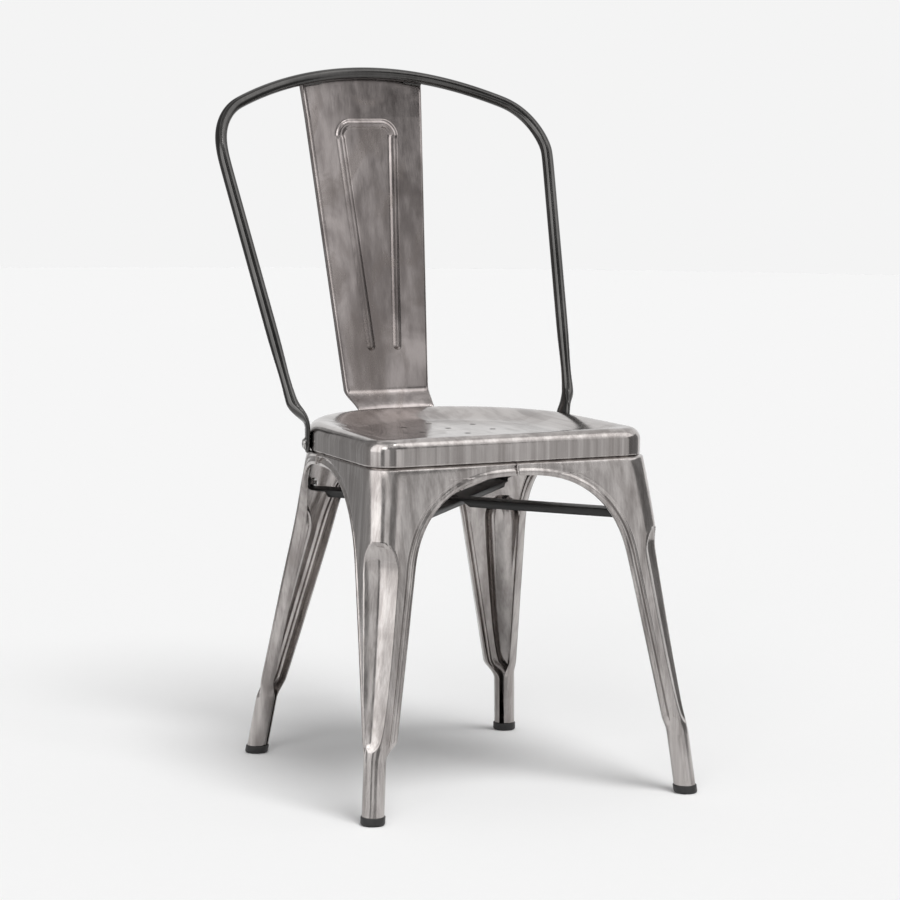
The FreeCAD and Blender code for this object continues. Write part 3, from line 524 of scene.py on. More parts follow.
def foot_axis(is_front, z):
    """Centre of the rolled foot at height z."""
    wall = WallCorner(is_front, z)
    inset = 0.0 if is_front else rear_knee_inset * z / knee_height
    return wall.sharp - wall.outward * (tube_radius / math.cos(wall.half_turn) + inset)


seam_corner = WallCorner(True, seam_z).sharp
print("front corner at the seam:", tuple(round(value, 1) for value in seam_corner))

# %% [markdown]
# ## Arches and flutes
#
# Each pair of legs meets above an arch. Along the arch a narrow groove is pressed in, and
# between the groove and the edge the sheet is rounded over into a lip that turns back. That
# gives the bright double line round every arch. Down the outer corner of each leg runs a
# flute, a hollow that stiffens the sheet. It starts narrow above the foot and ends in a
# round top, and its rim stands up a trifle where the metal was pushed aside.

# %% Sizes of arches and flutes
arch_spring_height = 278.0
arch_top_height = 383.0
arch_squareness = 2.6
arch_band = 8.5
arch_groove = 1.9
arch_groove_width = 2.3
arch_drop = 2.6
arch_round = 5.5
arch_lip = 3.5
deep_arch_lip = 14.0
openings = {
    (True, "middle"): (173.5, 90.0, 0.18),
    (True, "side"): (144.0, 246.0, 0.34),
    (False, "side"): (139.5, 200.0, 0.28),
    (False, "middle"): (99.0, 268.0, 0.245),
}
flute_tip_height = 84.0
flute_wide_height = 282.0
flute_top_height = 314.0
flute_half_width = 23.0
flute_depth = 14.0
flute_taper = 0.3
flute_fullness = 2.5
flute_shallowing = 1.3
flute_crease = 0.8
flute_rim = 0.6
flute_rim_place = 1.2
flute_rim_width = 1.6
print("arch openings:", len(openings), "flute:", flute_top_height - flute_tip_height, "high")

# %% Formulas of the arches
def arch_rise(z):
    return (z - arch_spring_height) / (arch_top_height - arch_spring_height)


def open_half(z, half, height, slope):
    """Half width of an arch opening at height z."""
    straight = half + slope * (height - z)
    rise = arch_rise(z)
    if rise <= 0:
        return straight
    if rise >= 1:
        return 0.0
    return straight * (1 - rise ** arch_squareness) ** (1 / arch_squareness)


def distance_to_arch(z, from_middle, half, height, slope):
    """Roughly how far a place on the wall lies outside the opening."""
    straight = half + slope * (height - z)
    rise = arch_rise(z)
    if rise <= 0:
        return from_middle - straight
    across = max(from_middle, 0.0) / straight
    level = rise ** arch_squareness + across ** arch_squareness - 1
    power = arch_squareness - 1
    slope_up = arch_squareness * rise ** power / (arch_top_height - arch_spring_height)
    slope_out = arch_squareness * across ** power / straight
    return level / math.hypot(slope_up, slope_out)


def border_inset(outside):
    """How deep the groove and the rounded edge are, at a distance outside the opening."""
    groove = arch_groove * math.exp(-((outside - arch_band) / arch_groove_width) ** 2)
    from_edge = min(max(outside / arch_round, 0.0), 1.0)
    return groove + arch_drop * (1 - math.sin(math.pi / 2 * from_edge))


print("front opening at the spring:", 2 * open_half(arch_spring_height, *openings[True, "middle"]))


# %% Formula of the flute
def flute_inset(s, z):
    """How deep the flute is at place s and height z, less than zero on its rim."""
    if z <= flute_tip_height or z >= flute_top_height:
        return 0.0
    if z < flute_wide_height:
        share = (z - flute_tip_height) / (flute_wide_height - flute_tip_height)
        half = flute_half_width * share ** flute_taper
    else:
        share = (z - flute_wide_height) / (flute_top_height - flute_wide_height)
        half = flute_half_width * math.sqrt(1 - share * share)
    wideness = half / flute_half_width
    depth = flute_depth * wideness ** flute_shallowing
    hollow = soft_floor(depth * (1 - (abs(s) / half) ** flute_fullness), flute_crease * wideness)
    from_rim = (abs(s) - half - flute_rim_place) / flute_rim_width
    return hollow - flute_rim * wideness * math.exp(-from_rim ** 2)


print("flute depth at its widest:", round(flute_inset(0.0, flute_wide_height), 1))

# %% [markdown]
# ## Legs
#
# A leg is one strip of sheet. At the top it is as wide as a quarter of the chair and runs
# from arch to arch round the corner. Lower down it gets narrower, and below the knee the
# same strip is rolled up into a tube. So the grid has the same columns everywhere, and
# under the knee each row is moved from the wall onto a circle. Rows and columns lie closer
# where the sheet bends more: at the knee, round the arch, in the flute and at the edge.

# %% Heights of a leg's rows
leg_tuck = 12.0


def leg_heights():
    heights = [leg_bottom_height] + in_parts(
        leg_bottom_height, (tube_top_height, 10), (knee_height, 16), (arch_spring_height, 110))
    for up, _ in quarter_turn(1.0, 56):
        rise = up ** (2 / arch_squareness)
        heights.append(mix(arch_spring_height, arch_top_height, rise))
    return heights + in_parts(
        arch_top_height, (arch_top_height + arch_band, 9), (seam_z - joggle_height, 3),
        (seam_z, 8), (seam_z + leg_tuck, 3))


print("rows of a leg:", len(leg_heights()))

# %% Columns of a leg
ridge_steps = 30
ridge_margin = 6.0
ridge_share = 0.8
wing_steps = 14
border_steps = 20
border_margin = 4.0
border_share = 0.45


def wing_columns(width):
    """Distances from the leg's corner to the edge of one wing."""
    border = arch_band + border_margin
    shrink = min(1.0, border_share * width / border)
    border_end = width - border * shrink
    ridge = min(flute_half_width + ridge_margin, ridge_share * border_end)
    return in_parts(0, (ridge, ridge_steps), (border_end, wing_steps), (width, border_steps))


print("columns of a wing:", len(wing_columns(100.0)))

# %% Rolling a row up into the foot
def rolled_up(outline, wall, is_front, z):
    """Moves a row onto the circle of the rolled foot, fully so below the knee."""
    roll = 1 - ease((z - tube_top_height) / (knee_height - tube_top_height))
    if roll == 0:
        return outline
    lengths = [0.0]
    for before, after in zip(outline, outline[1:]):
        lengths.append(lengths[-1] + (after - before).length)
    full_turn = math.pi - math.radians(tube_seam_angle)
    start = math.atan2(wall.outward.y, wall.outward.x)
    axis = foot_axis(is_front, z)
    rolled = []
    for length, point in zip(lengths, outline):
        angle = start + wall.spin * full_turn * (2 * length / lengths[-1] - 1)
        on_tube = axis + Vector((math.cos(angle), math.sin(angle), 0)) * tube_radius
        rolled.append(point.lerp(on_tube, roll))
    return rolled


print("a row is rolled up between", knee_height, "and", tube_top_height)

# %% One row of a leg
lip_steps = 4
lip_turn = 1.2
lip_turn_at_seam = 0.35


def leg_row(is_front, z):
    """Points across one leg from lip to lip, on its outside."""
    wall = WallCorner(is_front, z)
    inside = ease((z - seam_z + joggle_height) / joggle_height)
    joggle = mix(-leg_proud * min(z / seam_z, 1.0), sheet + piece_gap, inside)
    reaches = (wall.reach_middle(), wall.reach_side())
    sizes = (openings[is_front, "middle"], openings[is_front, "side"])
    deep_lip = mix(deep_arch_lip, arch_lip, ease(arch_rise(z)))
    lips = (arch_lip if is_front else deep_lip, deep_lip)
    turn = mix(lip_turn, lip_turn_at_seam, ease((z - arch_top_height) / arch_band))
    wings = []
    for direction, reach, size, lip in zip((-1, 1), reaches, sizes, lips):
        wing = []
        width = reach - max(open_half(z, *size), piece_gap / 2)
        for distance in wing_columns(width):
            point, normal = wall.at(direction * distance)
            outside = distance_to_arch(z, reach - distance, *size)
            inset = border_inset(outside) + flute_inset(distance, z) + joggle
            wing.append(point - normal * inset)
        along = (wing[-1] - wing[-2]).normalized()
        edge = wing[-1]
        turned = []
        for ahead, down in quarter_turn(turn, lip_steps):
            turned.append(edge + along * ahead - normal * down)
        corner_end = turned[-1]
        for depth in steps_between(0, lip - turn, 2):
            turned.append(corner_end - normal * depth)
        wings.append(wing + [point - along * turn for point in turned])
    point, normal = wall.at(0.0)
    middle = point - normal * (flute_inset(0.0, z) + joggle)
    outline = list(reversed(wings[0])) + [middle] + wings[1]
    return rolled_up(outline, wall, is_front, z)


print("points across a leg:", len(leg_row(True, seam_z)))

# %% Four legs
def make_legs():
    for is_front, end in ((True, "front"), (False, "rear")):
        grid = [leg_row(is_front, z) for z in leg_heights()]
        for side, rows in (("right", grid), ("left", mirrored(grid))):
            name = "leg_" + end + "_" + side
            leg = grid_object("pressed_" + name, rows, flipped=is_front == (side == "left"))
            add_sheet(leg, sheet)
            install(leg, "leg_steel", sheet_steel, name)


make_legs()

# %% [markdown]
# ## Seat pan
#
# The seat is pressed from one blank of sheet: a skirt, a rim rolled over it, and a dished
# middle with a few drain holes. Rings that follow the outline are pulled in step by step,
# from the skirt's edge up over the rim and down to the flat middle. The flat is filled
# with one face, and a boolean with seven short pegs punches the holes.

# %% Sizes of the seat
skirt_top_height = 416.0
rim_height = 430.0
dish_height = 418.5
rim_roll = 15.0
dish_slope_width = 56.0
drain_radius = 4.0
drain_circle = 54.0
drain_centre_y = -9.0
drain_count = 6
skirt_hem = 1.0
hem_edge = 0.3
straight_steps = 16
front_arc_steps = 20
rear_arc_steps = 44
print("the seat is dished by", rim_height - dish_height)

# %% Rings of the seat
def seat_ring(z, inset, front_radius, rear_radius):
    """Closed ring that follows the outline, pulled in by inset."""
    half = []
    front = Vector((front_corner_seam[0] - inset, front_corner_seam[1] + inset, z))
    rear = Vector((rear_corner_seam[0] - inset, rear_corner_seam[1] - inset, z))
    side = (rear - front).normalized()
    last = Vector((0, front.y, z))
    corners = (
        (front, Vector((1, 0, 0)), side, front_radius, front_arc_steps),
        (rear, side, Vector((-1, 0, 0)), rear_radius, rear_arc_steps),
    )
    for sharp, before, after, radius, arc_steps in corners:
        turn = before.angle(after)
        tangent = radius * math.tan(turn / 2)
        start = sharp - before * tangent
        half += [last.lerp(start, step / straight_steps) for step in range(straight_steps)]
        centre = start + Vector((-before.y, before.x, 0)) * radius
        spoke = start - centre
        for step in range(arc_steps):
            half.append(centre + Matrix.Rotation(turn * step / arc_steps, 3, "Z") @ spoke)
        last = sharp + after * tangent
    half += [last, Vector((0, rear.y, z))]
    return half + [Vector((-point.x, point.y, z)) for point in reversed(half[1:-1])]


def seat_profile():
    """Height and inset of each ring, from the skirt's edge to the flat middle."""
    hem_top = seam_z + skirt_hem
    profile = [(seam_z, skirt_hem), (seam_z + hem_edge, hem_edge), (hem_top, 0.0)]
    profile += [(z, 0.0) for z in steps_between(hem_top, skirt_top_height, 10)]
    for up, inset in quarter_turn(1.0, 16):
        profile.append((mix(skirt_top_height, rim_height, up), rim_roll * inset))
    for share in steps_between(0, 1, 30):
        inset = rim_roll + dish_slope_width * share
        profile.append((mix(rim_height, dish_height, ease(share)), inset))
    return profile


def seat_grid():
    grid = []
    for z, inset in seat_profile():
        front_radius = max(front_radius_seam - inset, front_radius_seam / 2)
        grid.append(seat_ring(z, inset, front_radius, rear_radius_seam - inset))
    return grid


print("rings of the seat:", len(seat_profile()))

# %% Pegs that punch the drain holes
peg_length = 8.0


def drain_pegs():
    """Short pegs where the drain holes go, as one mesh."""
    centres = [Vector((0, drain_centre_y, 0))]
    for index in range(drain_count):
        angle = math.radians(90 + 360 * index / drain_count)
        centres.append(centres[0] + Vector((math.cos(angle), math.sin(angle), 0)) * drain_circle)
    pegs = bmesh.new()
    for centre in centres:
        place = Matrix.Translation((centre + Vector((0, 0, dish_height))) * mm)
        bmesh.ops.create_cone(pegs, cap_ends=True, segments=32, radius1=drain_radius * mm,
                              radius2=drain_radius * mm, depth=peg_length * mm, matrix=place)
    mesh = bpy.data.meshes.new("drain_pegs")
    pegs.to_mesh(mesh)
    pegs.free()
    return put_in_scene("drain_pegs", mesh)


print("drain holes:", drain_count + 1, "of radius", drain_radius)

# %% Pressing the seat
crease_angle = math.radians(40)


def make_seat():
    grid = seat_grid()
    shell = grid_object("shell", grid, closed=True)
    flat = bmesh.new()
    flat.from_mesh(shell.data)
    flat.verts.ensure_lookup_table()
    flat.faces.new(flat.verts[-len(grid[0]):])
    flat.to_mesh(shell.data)
    flat.free()
    add_sheet(shell, sheet)
    pegs = drain_pegs()
    punch = shell.modifiers.new("punch", "BOOLEAN")
    punch.operation = "DIFFERENCE"
    punch.object = pegs
    depsgraph = bpy.context.evaluated_depsgraph_get()
    punched = bpy.data.meshes.new_from_object(shell.evaluated_get(depsgraph))
    for helper in (shell, pegs):
        bpy.data.objects.remove(helper)
    punched.shade_smooth()
    punched.set_sharp_from_angle(angle=crease_angle)
    return put_in_scene("pressed_seat_pan", punched)


install(make_seat(), "seat_steel", seat_steel, "seat_pan")

# %% [markdown]
# ## Back hoop
#
# The hoop is one tube, bent over a former, leaning back and bowed, with its two ends
# flattened and bolted to the skirt. Rings are set along its centre line, and a subdivision
# surface rounds them. That gives smooth bends from few points, just as a real bender does.

# %% Sizes of the hoop
total_height = 848.6
hoop_radius = 7.3
hoop_low_x = 189.8
hoop_low_z = 480.0
hoop_side_lean = math.radians(6.95)
hoop_crown_radius = 474.0
hoop_corner_radius = 66.0
hoop_recline = 0.447
hoop_y_at_rim = 24.6
hoop_bow = 32.5
hoop_bend_height = 456.0
hoop_foot_top = 424.0
hoop_foot_bottom = 393.0
hoop_foot_y = 19.0
hoop_foot_thickness = 5.5
hoop_foot_width = 23.0
crown_z = total_height - hoop_radius
print("centre of the hoop's crown at", round(crown_z, 1))

# %% Centre line of the hoop
def hoop_path():
    """Centre line of the right half, from the crown down to the bend above the seat."""
    crown_centre_z = crown_z - hoop_crown_radius
    up = Vector((math.sin(hoop_side_lean), math.cos(hoop_side_lean)))
    start = Vector((
        hoop_low_x - hoop_corner_radius * up.y,
        hoop_low_z + hoop_corner_radius * up.x - crown_centre_z,
    ))
    along = start.dot(up)
    reach = hoop_crown_radius - hoop_corner_radius
    corner = start + up * (math.sqrt(along ** 2 - start.length_squared + reach ** 2) - along)
    crown_angle = math.atan2(corner.x, corner.y)
    crown = [0.0] + steps_between(0, crown_angle, 6)[:-1]
    bend = [crown_angle] + steps_between(crown_angle, math.pi / 2 + hoop_side_lean, 8)
    flat = []
    for x, z, radius, angles in (
            (0.0, crown_centre_z, hoop_crown_radius, crown),
            (corner.x, corner.y + crown_centre_z, hoop_corner_radius, bend)):
        flat += [(x + radius * math.sin(angle), z + radius * math.cos(angle)) for angle in angles]
    bent = len(flat)
    side_x, side_z = flat[-1]
    bend_x = hoop_low_x - (hoop_low_z - hoop_bend_height) * math.tan(hoop_side_lean)
    for share in steps_between(0, 1, 6):
        flat.append((mix(side_x, bend_x, share), mix(side_z, hoop_bend_height, share)))
    path = []
    for index, (x, z) in enumerate(flat):
        y = hoop_y_at_rim + hoop_recline * (z - rim_height)
        if index < bent:
            y += hoop_bow * math.sqrt(max(1 - (x / side_x) ** 2, 0.0))
        path.append(Vector((x, y, z)))
    return path


print("half width of the hoop:", round(max(point.x for point in hoop_path()) + hoop_radius, 1))


# %% Where the hoop's feet lie on the skirt
def skirt_place(y):
    """Point on the right side of the skirt at this y, and its outward normal."""
    wall = WallCorner(False, seam_z)
    angle = math.asin((y - wall.centre.y) / wall.radius)
    ridge = math.atan2(wall.outward.y, wall.outward.x)
    return wall.at((ridge - angle) * wall.radius)


def hoop_foot_centre(z):
    point, normal = skirt_place(hoop_foot_y)
    centre = point + normal * (piece_gap / 2 + hoop_foot_thickness / 2)
    return Vector((centre.x, centre.y, z))


print("right foot of the hoop:", hoop_foot_centre(hoop_foot_top))

# %% Rings of the hoop
oval_points = 16
oval_fullness = 0.25


def oval(centre, along, across, length, width):
    """Ring round a rounded oval, drawn a little large because smoothing draws it in."""
    outwards = 3 / (2 + math.cos(2 * math.pi / oval_points))
    squareness = 1 - oval_fullness * (1 - width / length)
    ring = []
    for c, w in circle(oval_points):
        ring.append(centre
                    + along * (math.copysign(abs(c) ** squareness, c) * length / 2 * outwards)
                    + across * (math.copysign(abs(w) ** squareness, w) * width / 2 * outwards))
    return ring


print("points of a ring:", oval_points)

# %% Stations along the hoop
bend_pull = 0.45
flatten_delay = 0.15
foot_end_rounding = 0.9


def hoop_stations():
    """Centre, length and width of the section along the right half."""
    path = hoop_path()
    size = 2 * hoop_radius
    stations = [(point, size, size) for point in path]
    end = path[-1]
    foot_top = hoop_foot_centre(hoop_foot_top)
    pull = (end.z - foot_top.z) * bend_pull
    leave = end + (path[-1] - path[-2]).normalized() * pull
    arrive = foot_top + Vector((0, 0, pull))
    for t in steps_between(0, 1, 7):
        centre = (end * (1 - t) ** 3 + leave * 3 * t * (1 - t) ** 2
                  + arrive * 3 * t * t * (1 - t) + foot_top * t ** 3)
        flatten = ease(t * (1 + flatten_delay) - flatten_delay)
        length = mix(size, hoop_foot_width, flatten)
        stations.append((centre, length, mix(size, hoop_foot_thickness, flatten)))
    for share in steps_between(0, 1, 5):
        rounding = math.sqrt(1 - (foot_end_rounding * max(share * 2 - 1, 0.0)) ** 2)
        centre = hoop_foot_centre(mix(hoop_foot_top, hoop_foot_bottom, share))
        stations.append((centre, hoop_foot_width * rounding, hoop_foot_thickness))
    return stations


print("stations on half the hoop:", len(hoop_stations()))

# %% Bending the hoop
section_turn_height = 60.0
section_turn_start = 0.3


def make_hoop():
    right = hoop_stations()
    left = [(Vector((-centre.x, centre.y, centre.z)), length, width)
            for centre, length, width in right[:0:-1]]
    stations = left + right
    foot_normal = skirt_place(hoop_foot_y)[1]
    rings = []
    for index, (centre, length, width) in enumerate(stations):
        before = stations[max(index - 1, 0)][0]
        after = stations[min(index + 1, len(stations) - 1)][0]
        direction = (after - before).normalized()
        side = math.copysign(1, centre.x) if abs(centre.x) > 1 else 0
        facing = Vector((side * foot_normal.x, foot_normal.y, 0))
        # The flat feet face the skirt, and on the crown the section follows the bend
        turned = ease((hoop_low_z - centre.z) / section_turn_height + section_turn_start)
        hint = Vector((0, 1, 0)).lerp(facing, turned)
        across = (hint - direction * hint.dot(direction)).normalized()
        rings.append(oval(centre, direction.cross(across), across, length, width))
    hoop = grid_object("bent_back_hoop", rings, closed=True, capped=True)
    rounding = hoop.modifiers.new("rounding", "SUBSURF")
    rounding.levels = 2
    rounding.render_levels = 3
    return hoop


install(make_hoop(), "hoop_steel", hoop_steel, "back_hoop")

# %% [markdown]
# ## Back splat
#
# The splat is a pressed strip between the hoop's crown and the rear of the seat. Its long
# edges are folded back, its foot is bent down behind the skirt, and a bead in the shape of
# an upside-down U stiffens it. The bead is narrow and its foot is sharp, so the grid has
# a column every millimetre there and the height comes from the distance to the U's line.

# %% Sizes of the splat
splat_sheet = 1.5
splat_kink_z = 450.0
splat_kink_y = 165.0
splat_top_z = crown_z - 1.5
splat_behind_hoop = 0.03
crown_y = hoop_y_at_rim + hoop_recline * (crown_z - rim_height) + hoop_bow
splat_top_y = crown_y + hoop_radius + splat_sheet + splat_behind_hoop
splat_recline = (splat_top_y - splat_kink_y) / (splat_top_z - splat_kink_z)
splat_curve = 0.0004
splat_top_half = 83.5
splat_kink_half = 57.0
splat_foot_taper = 5.0
splat_foot_bottom = 403.0
splat_foot_top = 424.0
splat_edge_fold = 7.7
splat_edge_radius = 4.0
splat_fold_run = 20.0
bead_half_top = 37.0
bead_half_foot = 18.0
bead_top_z = 778.0
bead_foot_z = 503.0
bead_corner = 16.0
bead_width = 11.0
bead_height = 2.8
bead_crease = 0.25
print("the splat leans back by", round(math.degrees(math.atan(splat_recline)), 1), "degrees")

# %% Width of the splat and the wall behind it
def splat_half(z):
    slope = (splat_top_half - splat_kink_half) / (splat_top_z - splat_kink_z)
    if z > splat_kink_z:
        return splat_kink_half + slope * (z - splat_kink_z)
    below = ease((splat_kink_z - z) / (splat_kink_z - splat_foot_top))
    return splat_kink_half - splat_foot_taper * below


def rear_wall_y(x):
    wall = WallCorner(False, seam_z)
    offset = max(abs(x) - wall.centre.x, 0.0)
    return wall.centre.y + math.sqrt(wall.radius ** 2 - offset ** 2)


print("half width of the splat's foot:", splat_half(splat_foot_top))


# %% Bead of the splat
def bead_at(x, z):
    """Height of the U-shaped bead at a place on the splat."""
    share = (z - bead_foot_z) / (bead_top_z - bead_foot_z)
    leg_x = mix(bead_half_foot, bead_half_top, share)
    corner_z = bead_top_z - bead_corner
    leg_top = bead_half_top - bead_corner
    if z > corner_z and abs(x) >= leg_top:
        distance = abs(math.hypot(abs(x) - leg_top, z - corner_z) - bead_corner)
    elif z > corner_z:
        distance = abs(bead_top_z - z)
    elif z > bead_foot_z:
        distance = abs(abs(x) - leg_x)
    else:
        distance = math.hypot(abs(x) - bead_half_foot, z - bead_foot_z)
    across = 2 * distance / bead_width
    return soft_floor(bead_height * (1 - across * across), bead_crease)


print("height of the bead:", round(bead_at(0.0, bead_top_z), 2))


# %% Surface of the splat
def splat_point(x, z):
    back = splat_kink_y + splat_recline * (z - splat_kink_z) - splat_curve * x * x
    foot = rear_wall_y(x) + splat_sheet + piece_gap / 2
    y = mix(foot, back, ease((z - splat_foot_top) / (splat_kink_z - splat_foot_top)))
    low = bead_top_z + bead_corner / 2
    lowered = x * x / (2 * hoop_crown_radius) * max((z - low) / (splat_top_z - low), 0.0)
    return Vector((x, y - splat_sheet - bead_at(x, z), z - lowered))


print("front of the splat's crown:", splat_point(0.0, splat_top_z))

# %% Rows of the splat
half_columns = 75
fold_end = 0.4


def splat_row(z):
    half = splat_half(z)
    fold = splat_edge_radius / 4 + splat_edge_fold * ease((z - splat_foot_top) / splat_fold_run)
    radius = min(splat_edge_radius, fold)
    flat = half - radius
    columns = range(2 * half_columns + 1)
    inner = [splat_point(flat * (step / half_columns - 1), z) for step in columns]
    sides = []
    for side in (-1, 1):
        edge = splat_point(side * flat, z)
        turned = []
        for ahead, back in quarter_turn(radius, 6):
            turned.append(edge + Vector((side * ahead, back, 0)))
        for depth in steps_between(0, fold - radius + fold_end, 2):
            turned.append(edge + Vector((side * radius, radius + depth, 0)))
        sides.append(turned)
    return list(reversed(sides[0])) + inner + sides[1]


def splat_heights():
    return [splat_foot_bottom] + in_parts(
        splat_foot_bottom, (splat_foot_top, 6), (splat_kink_z, 16),
        (bead_foot_z - bead_width, 12), (bead_foot_z + bead_width, 22),
        (bead_top_z - bead_corner, 70), (bead_top_z + bead_corner, 40), (splat_top_z, 14))


print("rows of the splat:", len(splat_heights()))


# %% Pressing the splat
def make_splat():
    splat = grid_object("pressed_back_splat", [splat_row(z) for z in splat_heights()])
    add_sheet(splat, splat_sheet)
    return splat


install(make_splat(), "seat_steel", splat_steel, "back_splat")

# %% [markdown]
# ## Foot caps
#
# A moulded cup is pushed on each rolled foot. Its section is a line of radius and height,
# turned round the foot's axis: a flat sole, a rounded lower edge, a wall and a lip.

# %% Foot caps
cap_section = (
    (0.5, 0.0), (11.2, 0.0), (12.4, 0.25), (13.4, 0.9), (14.0, 1.8), (14.2, 2.9), (14.2, 8.8),
    (14.1, 9.5), (13.8, 9.9), (13.5, 10.0), (13.25, 9.8), (13.2, 9.3), (13.2, 4.0),
)
cap_points = 48


def make_caps():
    for is_front, end in ((True, "front"), (False, "rear")):
        for side_name, side in (("right", 1), ("left", -1)):
            rings = []
            for radius, z in cap_section:
                axis = foot_axis(is_front, z)
                rings.append([Vector((side * axis.x + radius * c, axis.y + radius * w, z))
                              for c, w in circle(cap_points)])
            name = "foot_cap_" + end + "_" + side_name
            cap = grid_object("moulded_" + name, rings, closed=True, capped=True)
            install(cap, "cap_plastic", cap_black, name)


make_caps()

# %% [markdown]
# ## Cross brace
#
# Two pressed channel bars cross under the seat. Each is one strip whose edges are folded
# down, whose ends lose those edges and bend up into a tab. So a bar is a row of sections
# along a line that turns upwards at both ends, and the folded edges shrink where the real
# ones are cut away: near the ends, and in the upper bar over the crossing.

# %% Sizes of the brace
brace_top = 337.3
brace_rise = 0.0243
brace_height = 9.5
brace_width = 25.0
brace_sheet = 2.0
brace_tab_height = 13.0
brace_tab_width = 16.0
brace_setback = 1.8
brace_end_cut = 26.0
brace_cut_run = 4.0
brace_crossing_cut = 0.75
brace_taper_run = 12.0
brace_bend = 3.0
brace_fold = 2.2
fold_steps = 5
tab_steps = 4
bend_steps = 6
bar_steps = 90
print("the bars are", brace_width, "wide and", brace_height, "high")


# %% Ends and crossing of the bars
def brace_ends(front_side):
    """Where a bar meets the front leg and the rear leg across from it."""
    ends = []
    for is_front, side in ((True, front_side), (False, -front_side)):
        wall = WallCorner(is_front, brace_top)
        inner = wall.at(0)[0] + wall.outward * (leg_proud * brace_top / seam_z - sheet)
        ends.append(Vector((side * inner.x, inner.y, brace_top)))
    return ends


def brace_crossing():
    front, rear = brace_ends(1)
    return front.lerp(rear, front.x / (front.x - rear.x))


print("the bars cross", round(brace_crossing().y, 1), "behind the middle")


# %% Section of a channel bar
def channel_section(half, drop):
    """Closed outline across the bar: distance sideways and distance below its top."""
    fold = brace_fold
    outer = [(half, max(drop, fold))]
    outer += [(half - inwards, fold - up) for up, inwards in quarter_turn(fold, fold_steps)]
    inner = [(across - brace_sheet if across > half - fold else across, below + brace_sheet)
             for across, below in reversed(outer)]
    inner[-1] = (half - brace_sheet, max(drop, fold + brace_sheet * 0.6))
    left_outer, left_inner = ([(-across, below) for across, below in line]
                              for line in (outer, inner))
    return left_outer + outer[::-1] + inner[::-1] + left_inner


print("points of a section:", len(channel_section(brace_width / 2, brace_height)))


# %% Stations along a bar
def bar_stations(length, top):
    """Distance along the bar, height, and angle, which is 0 where the bar stands upright."""
    start = brace_setback + brace_sheet
    tab_top = brace_top - brace_sheet + brace_tab_height
    stations = [(start, z, 0.0) for z in steps_between(tab_top, top + brace_bend, tab_steps)]
    for angle in steps_between(0, math.pi / 2, bend_steps):
        stations.append((start + brace_bend * (1 - math.cos(angle)),
                         top + brace_bend * (1 - math.sin(angle)), angle))
    other_end = [(length - x, z, angle) for x, z, angle in reversed(stations)]
    level = steps_between(start + brace_bend, length - start - brace_bend, bar_steps)[:-1]
    return stations + [(x, top, math.pi / 2) for x in level] + other_end


print("sections of a bar:", len(bar_stations(400.0, brace_top)))


# %% Two channel bars
def make_bar(name, front_side, is_upper):
    front, rear = brace_ends(front_side)
    length = (rear - front).length
    direction = (rear - front).normalized()
    across = Vector((-direction.y, direction.x, 0))
    crossing = brace_crossing()
    at_crossing = (crossing - front).length
    top = brace_top if is_upper else brace_top - brace_sheet - piece_gap
    full_drop = top - (brace_top - brace_height)
    rings = []
    for x, z, angle in bar_stations(length, top):
        inwards = direction if x < length / 2 else -direction
        up = Vector((0, 0, 1)) * math.sin(angle) + inwards * math.cos(angle)
        from_end = min(x, length - x) - brace_setback - brace_sheet
        keep = ease((from_end - brace_end_cut + brace_cut_run) / brace_cut_run)
        if is_upper:
            from_crossing = abs(x - at_crossing) - brace_width * brace_crossing_cut
            keep *= ease(from_crossing / brace_cut_run)
        half = mix(brace_tab_width, brace_width, ease(from_end / brace_taper_run)) / 2
        centre = front + direction * x
        centre.z = z
        section = channel_section(half, mix(brace_sheet, full_drop, keep))
        rings.append([centre + across * sideways - up * below for sideways, below in section])
    tilt_all = (Matrix.Translation(crossing) @ Matrix.Rotation(math.atan(brace_rise), 4, "X")
                @ Matrix.Translation(-crossing))
    rings = [[tilt_all @ point for point in ring] for ring in rings]
    return grid_object("pressed_" + name, rings, closed=True, capped=True)


for name, front_side, is_upper in (("brace_bar_upper", 1, True), ("brace_bar_lower", -1, False)):
    install(make_bar(name, front_side, is_upper), "brace_black", brace_black, name)

# %% [markdown]
# ## Bolts and what stays of the frame
#
# The bolts that show have low domed heads, which are turned shapes: a section of radius and
# height, swept round the bolt's axis. Nuts, washers, studs, rivet and weld beads already
# have their right shape in the frame, so they stay and only get a finish.

# %% Domed bolts
dome_section = (
    (5.9, 0.0), (6.0, 0.35), (5.9, 0.8), (5.4, 1.5), (4.6, 2.05), (3.6, 2.4), (2.5, 2.55),
    (1.9, 2.45), (1.7, 2.0), (0.1, 1.9),
)
shank_tip = 0.8
shank_tip_length = 0.6
shank_end = 0.05
bolt_points = 32


def turned_bolt(seat, direction, shank_radius, shank_length):
    """Rings of one bolt: shank end first, then the underside and the dome."""
    section = [(shank_radius * shank_tip, -shank_length),
               (shank_radius, shank_tip_length - shank_length),
               (shank_radius, -shank_end), *dome_section]
    sideways = direction.orthogonal().normalized()
    other = direction.cross(sideways)
    return [[seat + direction * height + (sideways * c + other * w) * radius
             for c, w in circle(bolt_points)] for radius, height in section]


def bolt_pair(name, places, shank_radius, shank_length):
    """Two bolts in one piece, as one node holds them both."""
    whole = bmesh.new()
    for seat, direction in places:
        rings = turned_bolt(seat, direction, shank_radius, shank_length)
        one = grid_object("one_bolt", rings, closed=True, capped=True)
        whole.from_mesh(one.data)
        bpy.data.objects.remove(one)
    mesh = bpy.data.meshes.new(name)
    whole.to_mesh(mesh)
    whole.free()
    mesh.shade_smooth()
    return put_in_scene(name, mesh)


print("a dome stands", max(height for radius, height in dome_section), "high")

